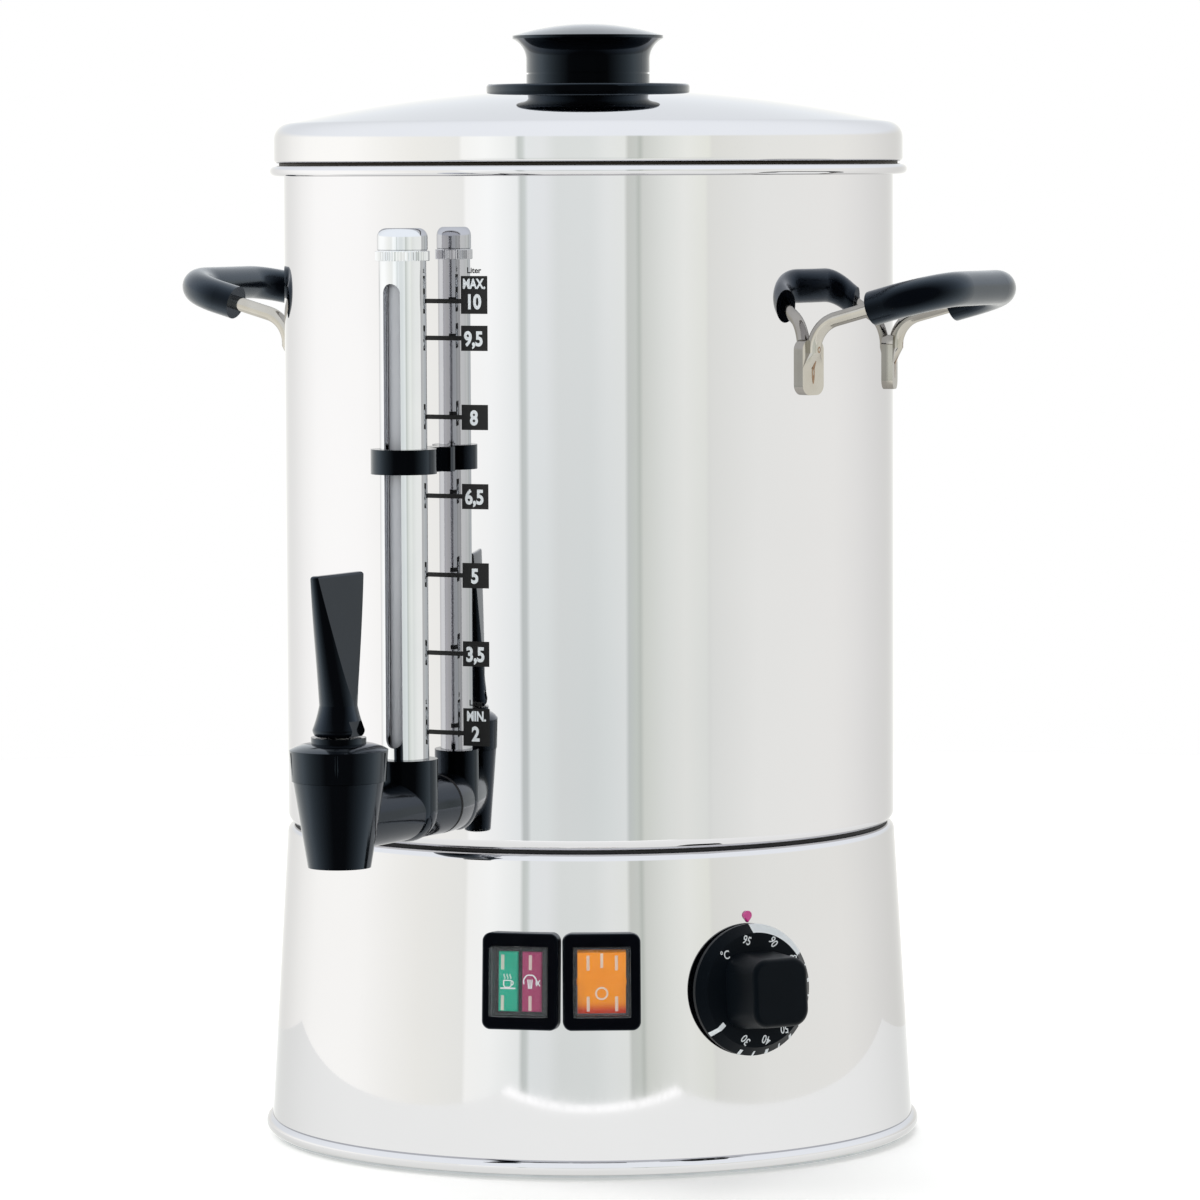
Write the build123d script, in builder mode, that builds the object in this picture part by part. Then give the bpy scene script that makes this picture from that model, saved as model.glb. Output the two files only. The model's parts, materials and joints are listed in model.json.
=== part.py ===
from build123d import *
import os
from math import asin, atan, copysign, cos, degrees, pi, radians, sin, sqrt, tan

# Electric hot water urn of about ten litres. Millimetres, +Z up. Z is the vessel's axis, z = 0 is the
# surface it stands on and the tap points to -Y. Azimuths run from the tap towards +X, in degrees.
os.makedirs("parts", exist_ok=True)

# ---------------------------------------------------------------- fits
running_gap = 0.05  # radial play of a shaft in its hole
slip_gap = 0.2  # play round a piece that is pushed into a hole or pocket
free_gap = 0.3  # air between pieces that move past each other
quarter_turn = 90  # degrees

# ---------------------------------------------------------------- vessel
vessel_radius = 125.0
vessel_wall = 1.0
vessel_height = 269.3
vessel_corner_height = 4.0
vessel_corner_depth = 2.6
rim_bead_radius = 2.15
rim_bead_reach = 5.7  # from the wall's outside to the tip of the rolled rim
rim_flange = 1.1

# ---------------------------------------------------------------- base
base_height = 128.2  # from the counter to the top of the base
base_overhang = 0.1  # the base's top edge stands this far outside the vessel's wall
base_slope = 3.45  # degrees from upright
base_sheet = 0.8
base_shoulder = 3.0
base_ledge = 24.0  # width of the ring that carries the vessel
bead_radius = 3.0
bead_floor = 2.0  # air under the foot bead
bead_reach = 2.6  # from the wall's outside to the tip of the foot bead
seal_thickness = 1.0
seal_width = 14.0

plate_thickness = 0.8
plate_dish = 5.8  # how far the middle of the bottom plate is pressed up
plate_rim = 9.0
vent_count = 16
vent_radius = 2.6
vent_circle = 60.0

foot_count = 4
foot_radius = 9.0
foot_inset = 18.1  # from the base's top edge in to the circle of the feet
foot_screw_radius = 1.6
foot_screw_head = 3.4
foot_screw_head_height = 2.2
foot_screw_bite = 6.4
foot_draft = 2.0  # degrees by which a foot widens upwards

rod_count = 4
rod_radius = 2.5
rod_inset = 15.1  # from the base's ledge in to the circle of the rods
rod_azimuth = 20.0
rod_tail = 1.0  # thread showing past the nut
nut_flats_per_radius = 3.2  # width across flats of a small nut over its thread's radius
nut_height_per_radius = 1.2

# ---------------------------------------------------------------- heater under the vessel
spreader_inset = 50.0  # from the vessel's wall in to the spreader's edge
spreader_thickness = 3.0
element_inset = 20.0  # from the spreader's edge in to the ring
element_radius = 4.0
element_opening = 50.0  # degrees of the ring left open between the two ends
element_tail = 26.0
clamp_inset = 7.0  # from the spreader's edge in to the clamp's
clamp_thickness = 1.5
clamp_stud_count = 3
clamp_stud_circle = 36.0
clamp_stud_radius = 2.0
cutout_radius = 8.0
cutout_height = 7.0
cutout_azimuth = -40.0
cutout_gap = 5.0  # between the spreader and the cut-out

# ---------------------------------------------------------------- lid
lid_overhang = 4.0  # from the vessel's wall to the lid's skirt
lid_sheet = 0.8
lid_gap = 1.0  # dark line between the rim and the lid's rolled edge
lid_rise = 30.4  # from the rolled edge to the crown
lid_dome_rise = 15.2  # how far the dome's middle stands above its edge
lid_shoulder = 7.0
lid_curl = 1.5
lid_plug_depth = 8.0  # how far the locating ring reaches into the vessel
lid_plug_play = 1.1

knob_washer_radius = 41.7
knob_washer_height = 1.5  # at the crown
knob_washer_edge = 1.2
knob_stem_radius = 25.3
knob_stem_height = 10.0
knob_groove_height = 4.4
knob_groove = 0.7
knob_head_radius = 30.9
knob_flare_height = 8.6
knob_rim = 1.2
knob_dome_height = 4.8
knob_screw_radius = 2.5
knob_screw_head = 5.0
knob_screw_head_height = 2.4
knob_screw_bite = 16.0

# ---------------------------------------------------------------- tap
tap_rise = 17.5  # axis of the pipe above the vessel's floor
tap_reach = 73.0  # from the vessel's wall to the tap's own axis
pipe_radius = 11.8
pipe_bore = 5.5
shank_radius = 9.0
shank_length = 12.0
wall_seal = 1.0
tap_nut_flats = 25.0
tap_nut_thickness = 7.0
tap_nut_turn = 30.0
cone_top_radius = 17.7
cone_foot_radius = 12.2
cone_height = 33.2
cone_above_pipe = 15.8
spout_mouth = 9.4
spout_mouth_depth = 7.4
seat_bore = 5.8
seat_web = 3.4
chamber_radius = 11.2
neck_radius = 12.8  # female thread at the chamber's mouth
neck_depth = 8.0
bonnet_joint = 0.2
bonnet_foot_radius = 18.3
bonnet_top_radius = 19.1
bonnet_side = 12.0
bonnet_dome = 2.6
bonnet_dome_swell = 0.72  # share of the dome reached half way in
flute_count = 5
flute_azimuth = 29.0  # of the first groove down the bonnet's side
flute_radius = 0.8
flute_depth = 0.7
flute_margin = 0.8  # bonnet's side left plain above and below a groove
bonnet_ring_radius = 10.7
bonnet_ring_height = 2.2
bonnet_bore = 9.0
bonnet_roof = 5.0
plug_radius = 8.4
plug_height = 11.0
plug_nose = 3.0
plug_nose_radius = 6.4
stem_radius = 2.5
stem_in_plug = 7.0
stem_eye_radius = 3.8
stem_eye_width = 4.4
spring_wire = 0.55
spring_radius = 5.2
spring_turns = 5
pivot_above_foot = 4.7  # lever pin above the lever's flat foot
pin_radius = 1.5
pin_length = 14.0
pin_notch_width = 9.2  # opening at each end of the pin in the lever's foot
pin_notch_height = 6.2
lever_foot_radius = 10.1
lever_foot_height = 2.7
lever_neck_radius = 7.4
lever_neck_height = 12.0
lever_waist = 1.1  # how much wider the lever is between foot and neck
lever_height = 62.6
lever_blade_front = 17.4
lever_blade_back = 17.0
lever_blade_width = 3.4
lever_blade_edge = 1.2
lever_slot_front = 7.2
lever_slot_back = 4.2

# ---------------------------------------------------------------- level gauge
gauge_reach = 23.2  # from the vessel's wall to the gauge's axis
glass_radius = 6.0
glass_wall = 1.5
guard_radius = 9.25
guard_wall = 1.2
guard_drop = 28.7  # from the vessel's rim down to the guard's top
guard_window = 7.6
guard_window_head = 17.2  # solid tube above the window
guard_window_foot = 13.2  # and below it
boss_radius = 12.6
boss_above_pipe = 20.1
guard_seat_depth = 8.5
glass_seat_depth = 5.0
cap_radius = 9.85
cap_band_radius = 10.65
cap_band_height = 3.9
cap_height = 12.8
cap_crown = 2.2
cap_overlap = 8.4
cap_rib_count = 36
cap_groove = 0.27
gauge_seal_height = 3.0
clip_radius = 12.9
clip_height = 9.7
clip_middle = 125.0  # above the guard's foot
clip_web = 9.0
clip_foot_width = 17.0
clip_foot_thickness = 1.6

# ---------------------------------------------------------------- handles
tab_spread = 16.6  # azimuth from the handle's middle to each tab
tab_width = 12.0
tab_thickness = 2.5
tab_height = 22.0
tab_rise = 177.8  # from the vessel's floor to a tab's lower end
flatten_length = 6.0  # where the round rod turns into the flat tab
handle_rod_radius = 2.9
handle_bend = 13.0
handle_leg = 0.9  # straight rod between the bend and the flattened end
handle_arm_rise = 34.6  # from a tab's lower end to the grip's ends
handle_arm_reach = 23.6  # from the wall to the grip's ends
handle_bow_reach = 27.6
handle_bow_rise = 7.4
handle_bow_corner = 20.5
grip_radius = 6.9

# ---------------------------------------------------------------- rocker switch and pilot lights
panel_height = 78.4
pilot_azimuth = 17.0
frame_gap = 0.7013  # along the wall, between the frames of the two units
frame_width = 30.6
frame_height = 38.1
frame_proud = 5.0
frame_corner = 3.4
frame_lip = 1.0
cover_width = 22.4
cover_height = 27.4
cover_proud = 10.5
cover_wall = 0.8
cover_flange = 1.0
cover_corner = 1.0
housing_width = 25.4
housing_height = 31.4
housing_depth = 20.0
rocker_width = 19.0
rocker_length = 24.6
rocker_face = 2.2  # ends of the face above the pivot
rocker_dip = 0.55
rocker_skirt = 5.0
rocker_well = 10.0
rocker_pivot_depth = 2.2  # pivot below the housing's front
rocker_tilt = 11.0
rocker_axle_radius = 1.2
rocker_axle_length = 1.4
lens_width = 7.8
lens_height = 23.6
lens_gap = 1.7
lens_proud = 1.8
lens_depth = 4.0
terminal_width = 6.3
terminal_thickness = 0.8
terminal_length = 8.0
terminal_pitch = 9.0

# ---------------------------------------------------------------- thermostat
dial_azimuth = 58.3
dial_height = 72.9
dial_radius = 26.1
dial_gap = 0.8  # between the base and the back of the dial
dial_side = 1.7
dial_bevel_height = 3.5
dial_bevel_width = 3.4
dial_wall = 2.0
dial_hub_radius = 7.5
dial_bore_depth = 17.0
grip_foot_width = 28.0
grip_foot_height = 30.0
grip_top_width = 24.6
grip_top_height = 26.8
grip_corner = 7.5
grip_length = 19.4
grip_edge = 2.0
shaft_radius = 3.0
shaft_flat = 1.6  # from the axis to the flat
shaft_in_body = 8.0
bushing_radius = 4.5
bushing_proud = 3.2
bushing_nut_flats = 13.0
bushing_nut_height = 2.4
thermostat_width = 34.0
thermostat_height = 40.0
thermostat_depth = 20.0
thermostat_setback = 3.0
bulb_radius = 3.0
bulb_length = 60.0
capillary_radius = 0.8
capillary_bend = 3.0
marker_above_dial = 29.3
marker_radius = 1.8
marker_tip = 2.8
marker_proud = 1.2
marker_pin = 0.9

# ---------------------------------------------------------------- mains entry
gland_height = 34.0
gland_flange_radius = 10.5
gland_flange = 3.0
gland_thread_radius = 7.5
gland_nose = 12.0
gland_nose_radius = 6.2
gland_bore = 3.8
gland_inside = 12.0
gland_nut_flats = 19.0
gland_nut_height = 4.0
block_width = 44.0
block_depth = 18.0
block_height = 16.0
block_inset = 47.1  # from the base's top edge in to the block's middle
block_ways = 3
block_well = 2.4

# ---------------------------------------------------------------- heights and places worked out
vessel_floor = base_height + seal_thickness
vessel_rim = vessel_floor + vessel_height
vessel_bore = vessel_radius - vessel_wall
base_top_radius = vessel_radius + base_overhang
foot_circle = base_top_radius - foot_inset
rod_circle = base_top_radius - base_ledge - rod_inset
spreader_radius = vessel_radius - spreader_inset
element_ring = spreader_radius - element_inset
clamp_radius = spreader_radius - clamp_inset
cutout_circle = spreader_radius + cutout_radius + cutout_gap
block_distance = base_top_radius - block_inset
lid_radius = vessel_radius + lid_overhang
lid_dome_radius = (lid_radius**2 + lid_dome_rise**2) / (2 * lid_dome_rise)
lid_edge = vessel_rim + lid_gap
lid_crown = lid_edge + lid_rise
tap_radius = vessel_radius + tap_reach
gauge_radius = vessel_radius + gauge_reach
tap_height = vessel_floor + tap_rise
joint_height = tap_height + cone_above_pipe
spout_height = joint_height - cone_height
seat_height = spout_height + spout_mouth_depth + seat_web
bonnet_foot = joint_height + bonnet_joint
bonnet_shoulder = bonnet_foot + bonnet_side
bonnet_ring_top = bonnet_shoulder + bonnet_dome + bonnet_ring_height
lever_foot_z = bonnet_ring_top + free_gap
pivot_height = lever_foot_z + pivot_above_foot
plug_foot = seat_height + free_gap
bonnet_ceiling = bonnet_shoulder + bonnet_dome - bonnet_roof
guard_foot = tap_height + boss_above_pipe - guard_seat_depth
guard_top = vessel_rim - guard_drop
guard_height = guard_top - guard_foot
guard_window_height = guard_height - guard_window_head - guard_window_foot
glass_foot = guard_foot - glass_seat_depth
cap_foot = guard_top - cap_overlap
tab_foot_height = vessel_floor + tab_rise
handle_arm_height = tab_foot_height + handle_arm_rise
bead_top = bead_floor + 2 * bead_radius
housing_front = frame_proud - frame_lip - cover_flange
rocker_pivot = housing_front - rocker_pivot_depth
dial_face = dial_gap + dial_side + dial_bevel_height
plate_floor = bead_floor + plate_dish


def base_radius(height):
    """Outside radius of the base's wall at a height above the counter."""
    return base_top_radius + (base_height - height) * tan(radians(base_slope))


def wall_plane(azimuth, radius, height, lean=0.0):
    """Plane that faces outward at an azimuth: its X runs sideways towards +azimuth, its Y upwards."""
    turn = radians(azimuth)
    tilt = radians(lean)
    facing = (sin(turn) * cos(tilt), -cos(turn) * cos(tilt), sin(tilt))
    return Plane(
        origin=(radius * sin(turn), -radius * cos(turn), height),
        x_dir=(cos(turn), sin(turn), 0),
        z_dir=facing,
    )


def base_plane(azimuth, height):
    """Plane that touches the base's conical wall, square to it."""
    return wall_plane(azimuth, base_radius(height), height, base_slope)


def save(piece, name):
    """Name a finished piece and write it as its own file."""
    piece.label = name
    export_step(piece, f"parts/{name}.step")


def cone_solid(inset, foot, top):
    """Solid cone of the base's wall, set in by a distance, between two heights."""
    lower = base_radius(foot) - inset
    upper = base_radius(top) - inset
    return Pos(0, 0, (foot + top) / 2) * Cone(lower, upper, top - foot)


frame_turn = degrees((frame_width + frame_gap) / base_radius(panel_height))
switch_azimuth = pilot_azimuth + frame_turn
pilot_plane = base_plane(pilot_azimuth, panel_height)
switch_plane = base_plane(switch_azimuth, panel_height)
dial_plane = base_plane(dial_azimuth, dial_height)
marker_plane = base_plane(dial_azimuth, dial_height + marker_above_dial)
gland_plane = base_plane(2 * quarter_turn, gland_height)
tap_plane = wall_plane(0, 0, tap_height)
tap_axis = Axis((0, -tap_radius, 0), (0, 0, 1))
gauge_axis = Axis((0, -gauge_radius, 0), (0, 0, 1))
tap_section_plane = Plane(origin=(0, -tap_radius, 0), x_dir=(1, 0, 0), z_dir=(0, -1, 0))
gauge_section_plane = Plane(origin=(0, -gauge_radius, 0), x_dir=(1, 0, 0), z_dir=(0, -1, 0))
rod_places = PolarLocations(rod_circle, rod_count, start_angle=rod_azimuth - quarter_turn)
foot_places = PolarLocations(foot_circle, foot_count)
stud_places = PolarLocations(clamp_stud_circle, clamp_stud_count, start_angle=quarter_turn)
rod_flats = nut_flats_per_radius * rod_radius
rod_nut_height = nut_height_per_radius * rod_radius
stud_flats = nut_flats_per_radius * clamp_stud_radius
stud_nut_height = nut_height_per_radius * clamp_stud_radius


# ================================================================ vessel and what it stands on
# The vessel is drawn from sheet: a filled outline is turned, and the same outline set in is taken out.
with BuildPart() as vessel:
    for inset, top, mode in ((0, vessel_rim, Mode.ADD), (vessel_wall, 2 * vessel_rim, Mode.SUBTRACT)):
        with BuildSketch(Plane.XZ):
            with BuildLine():
                shoulder = (vessel_radius - inset, vessel_floor + vessel_corner_height)
                heel = (vessel_radius - vessel_corner_depth - inset, vessel_floor + inset)
                TangentArc(shoulder, heel, tangent=(0, -1))
                Polyline(heel, (0, vessel_floor + inset), (0, top), (vessel_radius - inset, top), shoulder)
            make_face()
        revolve(axis=Axis.Z, mode=mode)
    with BuildSketch(Plane.XZ):
        bead_middle = vessel_radius + rim_bead_reach - rim_bead_radius
        with Locations((bead_middle, vessel_rim - rim_bead_radius)):
            Circle(rim_bead_radius)
        with Locations((vessel_bore, vessel_rim - rim_flange)):
            Rectangle(bead_middle - vessel_bore, rim_flange, align=(Align.MIN, Align.MIN))
    revolve(axis=Axis.Z)
    # Hole for the tap's shank
    with BuildSketch(tap_plane.offset(vessel_radius / 2)):
        Circle(shank_radius + slip_gap)
    extrude(amount=vessel_radius, mode=Mode.SUBTRACT)
save(vessel.part, "vessel")

# Base: one sheet of steel with a rolled bead round its foot and a ledge that the vessel stands on.
with BuildPart() as base_shell:
    for inset, mode in ((0, Mode.ADD), (base_sheet, Mode.SUBTRACT)):
        with BuildSketch(Plane.XZ):
            with BuildLine():
                Polyline(
                    (0, bead_floor + bead_radius),
                    (base_radius(bead_floor + bead_radius) - inset, bead_floor + bead_radius),
                    (base_top_radius - inset, base_height - inset),
                    (0, base_height - inset),
                    close=True,
                )
            make_face()
            fillet(vertices().group_by(Axis.Y)[-1].sort_by(Axis.X)[-1], base_shoulder - inset)
        revolve(axis=Axis.Z, mode=mode)
    with BuildSketch(Plane.XZ):
        with Locations((base_radius(bead_top) + bead_reach - bead_radius, bead_floor + bead_radius)):
            Circle(bead_radius)
            Circle(bead_radius - base_sheet, mode=Mode.SUBTRACT)
    revolve(axis=Axis.Z)
    with BuildSketch(Plane.XY.offset(base_height / 2)):
        Circle(base_top_radius - base_ledge)
    extrude(amount=base_height, mode=Mode.SUBTRACT)
    for panel in (pilot_plane, switch_plane):
        with BuildSketch(panel.offset(-housing_depth / 2)):
            Rectangle(housing_width + 2 * slip_gap, housing_height + 2 * slip_gap)
        extrude(amount=housing_depth, mode=Mode.SUBTRACT)
    for place, radius in (
        (dial_plane, bushing_radius + slip_gap),
        (marker_plane, marker_pin + running_gap),
        (gland_plane, gland_thread_radius + slip_gap),
    ):
        with BuildSketch(place.offset(-thermostat_setback - base_sheet)):
            Circle(radius)
        extrude(amount=2 * thermostat_setback + base_sheet, mode=Mode.SUBTRACT)
save(base_shell.part, "base_shell")

# Black seal that shows as the dark line between the base and the vessel.
with BuildPart() as base_seal:
    with BuildSketch(Plane.XY.offset(base_height)):
        Circle(vessel_radius - vessel_corner_depth)
        Circle(vessel_radius - vessel_corner_depth - seal_width, mode=Mode.SUBTRACT)
    extrude(amount=seal_thickness)
save(base_seal.part, "base_seal")

# Bottom plate: a flat rim under the bead, and a middle that is dished up to clear the nuts and feet.
with BuildPart() as base_plate:
    plate_radius = base_radius(bead_top) + bead_reach - bead_radius
    with BuildSketch(Plane.XZ):
        upper_side = [
            (0, plate_floor),
            (plate_radius - plate_rim - plate_dish / 2, plate_floor),
            (plate_radius - plate_rim, bead_floor),
            (plate_radius, bead_floor),
        ]
        lower_side = [(along, height - plate_thickness) for along, height in reversed(upper_side)]
        with BuildLine():
            Polyline(*upper_side, *lower_side, close=True)
        make_face()
    revolve(axis=Axis.Z)
    with BuildSketch(Plane.XY):
        with rod_places:
            Circle(rod_radius + slip_gap)
        with foot_places:
            Circle(foot_screw_radius + running_gap)
        with PolarLocations(vent_circle, vent_count):
            Circle(vent_radius)
    extrude(amount=2 * plate_floor, mode=Mode.SUBTRACT)
save(base_plate.part, "base_plate")

# Four rubber feet, each with a pocket for its screw.
with BuildPart() as base_feet:
    foot_height = plate_floor - plate_thickness
    with BuildSketch(Plane.XY):
        with foot_places:
            Circle(foot_radius)
    extrude(amount=foot_height, taper=-foot_draft)
    with BuildSketch(Plane.XY):
        with foot_places:
            Circle(foot_screw_head + slip_gap)
    extrude(amount=foot_height / 2 + foot_screw_head_height / 2, mode=Mode.SUBTRACT)
    with BuildSketch(Plane.XY):
        with foot_places:
            Circle(foot_screw_radius + running_gap)
    extrude(amount=foot_height, mode=Mode.SUBTRACT)
save(base_feet.part, "base_feet")

with BuildPart() as foot_screws:
    head_top = foot_height / 2 + foot_screw_head_height / 2
    with BuildSketch(Plane.XY.offset(head_top - foot_screw_head_height)):
        with foot_places:
            Circle(foot_screw_head)
    extrude(amount=foot_screw_head_height)
    with BuildSketch(Plane.XY.offset(head_top)):
        with foot_places:
            Circle(foot_screw_radius)
    extrude(amount=plate_floor + foot_screw_bite - head_top)
save(foot_screws.part, "foot_screws")

# Tie rods welded under the vessel pull the bottom plate up against the base.
with BuildPart() as tie_rods:
    rod_end = plate_floor - plate_thickness - rod_nut_height - rod_tail
    with BuildSketch(Plane.XY.offset(rod_end)):
        with rod_places:
            Circle(rod_radius)
    extrude(amount=vessel_floor - rod_end)
save(tie_rods.part, "tie_rods")

with BuildPart() as tie_rod_nuts:
    with BuildSketch(Plane.XY.offset(rod_end + rod_tail)):
        with rod_places:
            RegularPolygon(rod_flats / 2, 6, major_radius=False)
            Circle(rod_radius + running_gap, mode=Mode.SUBTRACT)
    extrude(amount=rod_nut_height)
save(tie_rod_nuts.part, "tie_rod_nuts")

# ================================================================ heater
with BuildPart() as heat_spreader:
    spreader_foot = vessel_floor - spreader_thickness
    with BuildSketch(Plane.XY.offset(spreader_foot)):
        Circle(spreader_radius)
        with stud_places:
            Circle(clamp_stud_radius + slip_gap, mode=Mode.SUBTRACT)
    extrude(amount=spreader_thickness)
save(heat_spreader.part, "heat_spreader")

# Sheathed element: an open ring that is pressed against the spreader, with both ends turned down.
with BuildPart() as heating_element:
    element_height = spreader_foot - element_radius
    first_end = quarter_turn + element_opening / 2
    ring_sweep = 4 * quarter_turn - element_opening
    with BuildLine(Plane.XY.offset(element_height)) as ring:
        CenterArc((0, 0), element_ring, first_end, ring_sweep)
    with BuildSketch(Plane(ring.line @ 0, z_dir=ring.line % 0)):
        Circle(element_radius)
    sweep()
    for end in (ring.line @ 0, ring.line @ 1):
        with Locations(end):
            Sphere(element_radius)
        with BuildSketch(Plane(end - Vector(0, 0, element_tail))):
            Circle(element_radius)
        extrude(amount=element_tail)
save(heating_element.part, "heating_element")

with BuildPart() as clamp_plate:
    clamp_foot = element_height - element_radius - clamp_thickness
    with BuildSketch(Plane.XY.offset(clamp_foot)):
        Circle(clamp_radius)
        with stud_places:
            Circle(clamp_stud_radius + slip_gap, mode=Mode.SUBTRACT)
        for turn in (first_end, first_end + ring_sweep):
            with PolarLocations(element_ring, 1, start_angle=turn):
                Circle(element_radius + 2 * slip_gap, mode=Mode.SUBTRACT)
    extrude(amount=clamp_thickness)
save(clamp_plate.part, "clamp_plate")

with BuildPart() as clamp_studs:
    stud_end = clamp_foot - stud_nut_height - rod_tail
    with BuildSketch(Plane.XY.offset(stud_end)):
        with stud_places:
            Circle(clamp_stud_radius)
    extrude(amount=vessel_floor - stud_end)
save(clamp_studs.part, "clamp_studs")

with BuildPart() as clamp_nuts:
    with BuildSketch(Plane.XY.offset(clamp_foot - stud_nut_height)):
        with stud_places:
            RegularPolygon(stud_flats / 2, 6, major_radius=False)
            Circle(clamp_stud_radius + running_gap, mode=Mode.SUBTRACT)
    extrude(amount=stud_nut_height)
save(clamp_nuts.part, "clamp_nuts")

# Dry-boil cut-out: a snap disc thermostat under the vessel, beside the spreader.
with BuildPart() as dry_boil_cutout:
    cutout_plane = wall_plane(cutout_azimuth, cutout_circle, vessel_floor - cutout_height)
    with BuildSketch(Plane(cutout_plane.origin)):
        Circle(cutout_radius)
    extrude(amount=cutout_height)
    with BuildSketch(Plane(cutout_plane.origin - Vector(0, 0, terminal_length))):
        with GridLocations(terminal_pitch, 0, 2, 1):
            Rectangle(terminal_thickness, terminal_width)
    extrude(amount=terminal_length)
save(dry_boil_cutout.part, "dry_boil_cutout")

# ================================================================ lid
# The lid's dome runs over a rounded shoulder into an upright skirt with a curled edge. A ring inside it
# drops into the vessel and keeps the lid in place.
with BuildPart() as lid:
    dome_centre = lid_crown - lid_dome_radius
    for inset, mode in ((0, Mode.ADD), (lid_sheet, Mode.SUBTRACT)):
        with BuildSketch(Plane.XZ):
            with Locations((0, lid_edge)):
                Rectangle(2 * (lid_radius - inset), 2 * lid_rise)
            with Locations((0, dome_centre)):
                Circle(lid_dome_radius - inset, mode=Mode.INTERSECT)
            shoulder_points = vertices().filter_by(lambda v: v.Y > lid_edge)
            fillet(shoulder_points, lid_shoulder - inset)
            with Locations((0, lid_edge + lid_curl)):
                Rectangle(lid_radius, lid_rise, align=(Align.MIN, Align.MIN), mode=Mode.INTERSECT)
        revolve(axis=Axis.Z, mode=mode)
    with BuildSketch(Plane.XZ):
        curl_middle = lid_radius - lid_curl
        plug_outside = vessel_bore - lid_plug_play
        flange_width = curl_middle - lid_curl / 2 - plug_outside + lid_sheet
        with Locations((curl_middle, lid_edge + lid_curl)):
            Circle(lid_curl)
        with Locations((plug_outside - lid_sheet, vessel_rim)):
            Rectangle(flange_width, lid_gap + lid_curl / 2, align=Align.MIN)
        with Locations((plug_outside - lid_sheet, vessel_rim - lid_plug_depth)):
            Rectangle(lid_sheet, lid_plug_depth + lid_gap, align=Align.MIN)
    revolve(axis=Axis.Z)
    with BuildSketch(Plane.XY.offset(lid_edge)):
        Circle(knob_screw_radius + slip_gap)
    extrude(amount=2 * lid_rise, mode=Mode.SUBTRACT)
save(lid.part, "lid")

# Black disc between the dome and the knob; its underside follows the dome.
with BuildPart() as lid_knob_washer:
    washer_top = lid_crown + knob_washer_height
    with BuildSketch(Plane.XY.offset(lid_edge)):
        Circle(knob_washer_radius)
    extrude(amount=washer_top - lid_edge)
    fillet(edges().group_by(Axis.Z)[-1], knob_washer_edge)
    with Locations((0, 0, dome_centre)):
        Sphere(lid_dome_radius, mode=Mode.SUBTRACT)
    with BuildSketch(Plane.XY.offset(lid_edge)):
        Circle(knob_screw_radius + slip_gap)
    extrude(amount=2 * lid_rise, mode=Mode.SUBTRACT)
save(lid_knob_washer.part, "lid_knob_washer")

with BuildPart() as lid_knob:
    stem_top = washer_top + knob_stem_height
    flare_top = stem_top + knob_flare_height
    head_side = flare_top + knob_rim
    head_top = head_side + knob_dome_height
    crown_radius = (knob_head_radius**2 + knob_dome_height**2) / (2 * knob_dome_height)
    crown_half = degrees(asin(knob_head_radius / crown_radius))
    with BuildSketch(Plane.XZ):
        with BuildLine():
            Line((0, washer_top), (knob_stem_radius, washer_top))
            Line((knob_stem_radius, washer_top), (knob_stem_radius, stem_top))
            TangentArc((knob_stem_radius, stem_top), (knob_head_radius, flare_top), tangent=(0, 1))
            Line((knob_head_radius, flare_top), (knob_head_radius, head_side))
            CenterArc((0, head_top - crown_radius), crown_radius, quarter_turn - crown_half, crown_half)
            Line((0, head_top), (0, washer_top))
        make_face()
        with Locations((knob_stem_radius, washer_top + knob_groove_height)):
            Rectangle(2 * knob_groove, knob_groove, mode=Mode.SUBTRACT)
    revolve(axis=Axis.Z)
    with BuildSketch(Plane.XY.offset(washer_top)):
        Circle(knob_screw_radius + running_gap)
    extrude(amount=knob_screw_bite + slip_gap, mode=Mode.SUBTRACT)
save(lid_knob.part, "lid_knob")

with BuildPart() as lid_knob_screw:
    head_seat = sqrt((lid_dome_radius - lid_sheet) ** 2 - knob_screw_head**2) + dome_centre
    with BuildSketch(Plane.XY.offset(head_seat - knob_screw_head_height)):
        Circle(knob_screw_head)
    extrude(amount=knob_screw_head_height)
    with BuildSketch(Plane.XY.offset(head_seat)):
        Circle(knob_screw_radius)
    extrude(amount=washer_top + knob_screw_bite - head_seat)
save(lid_knob_screw.part, "lid_knob_screw")

# ================================================================ tap
tall = 3 * vessel_rim
wall_cylinder = Cylinder(vessel_radius + wall_seal, tall)
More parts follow.
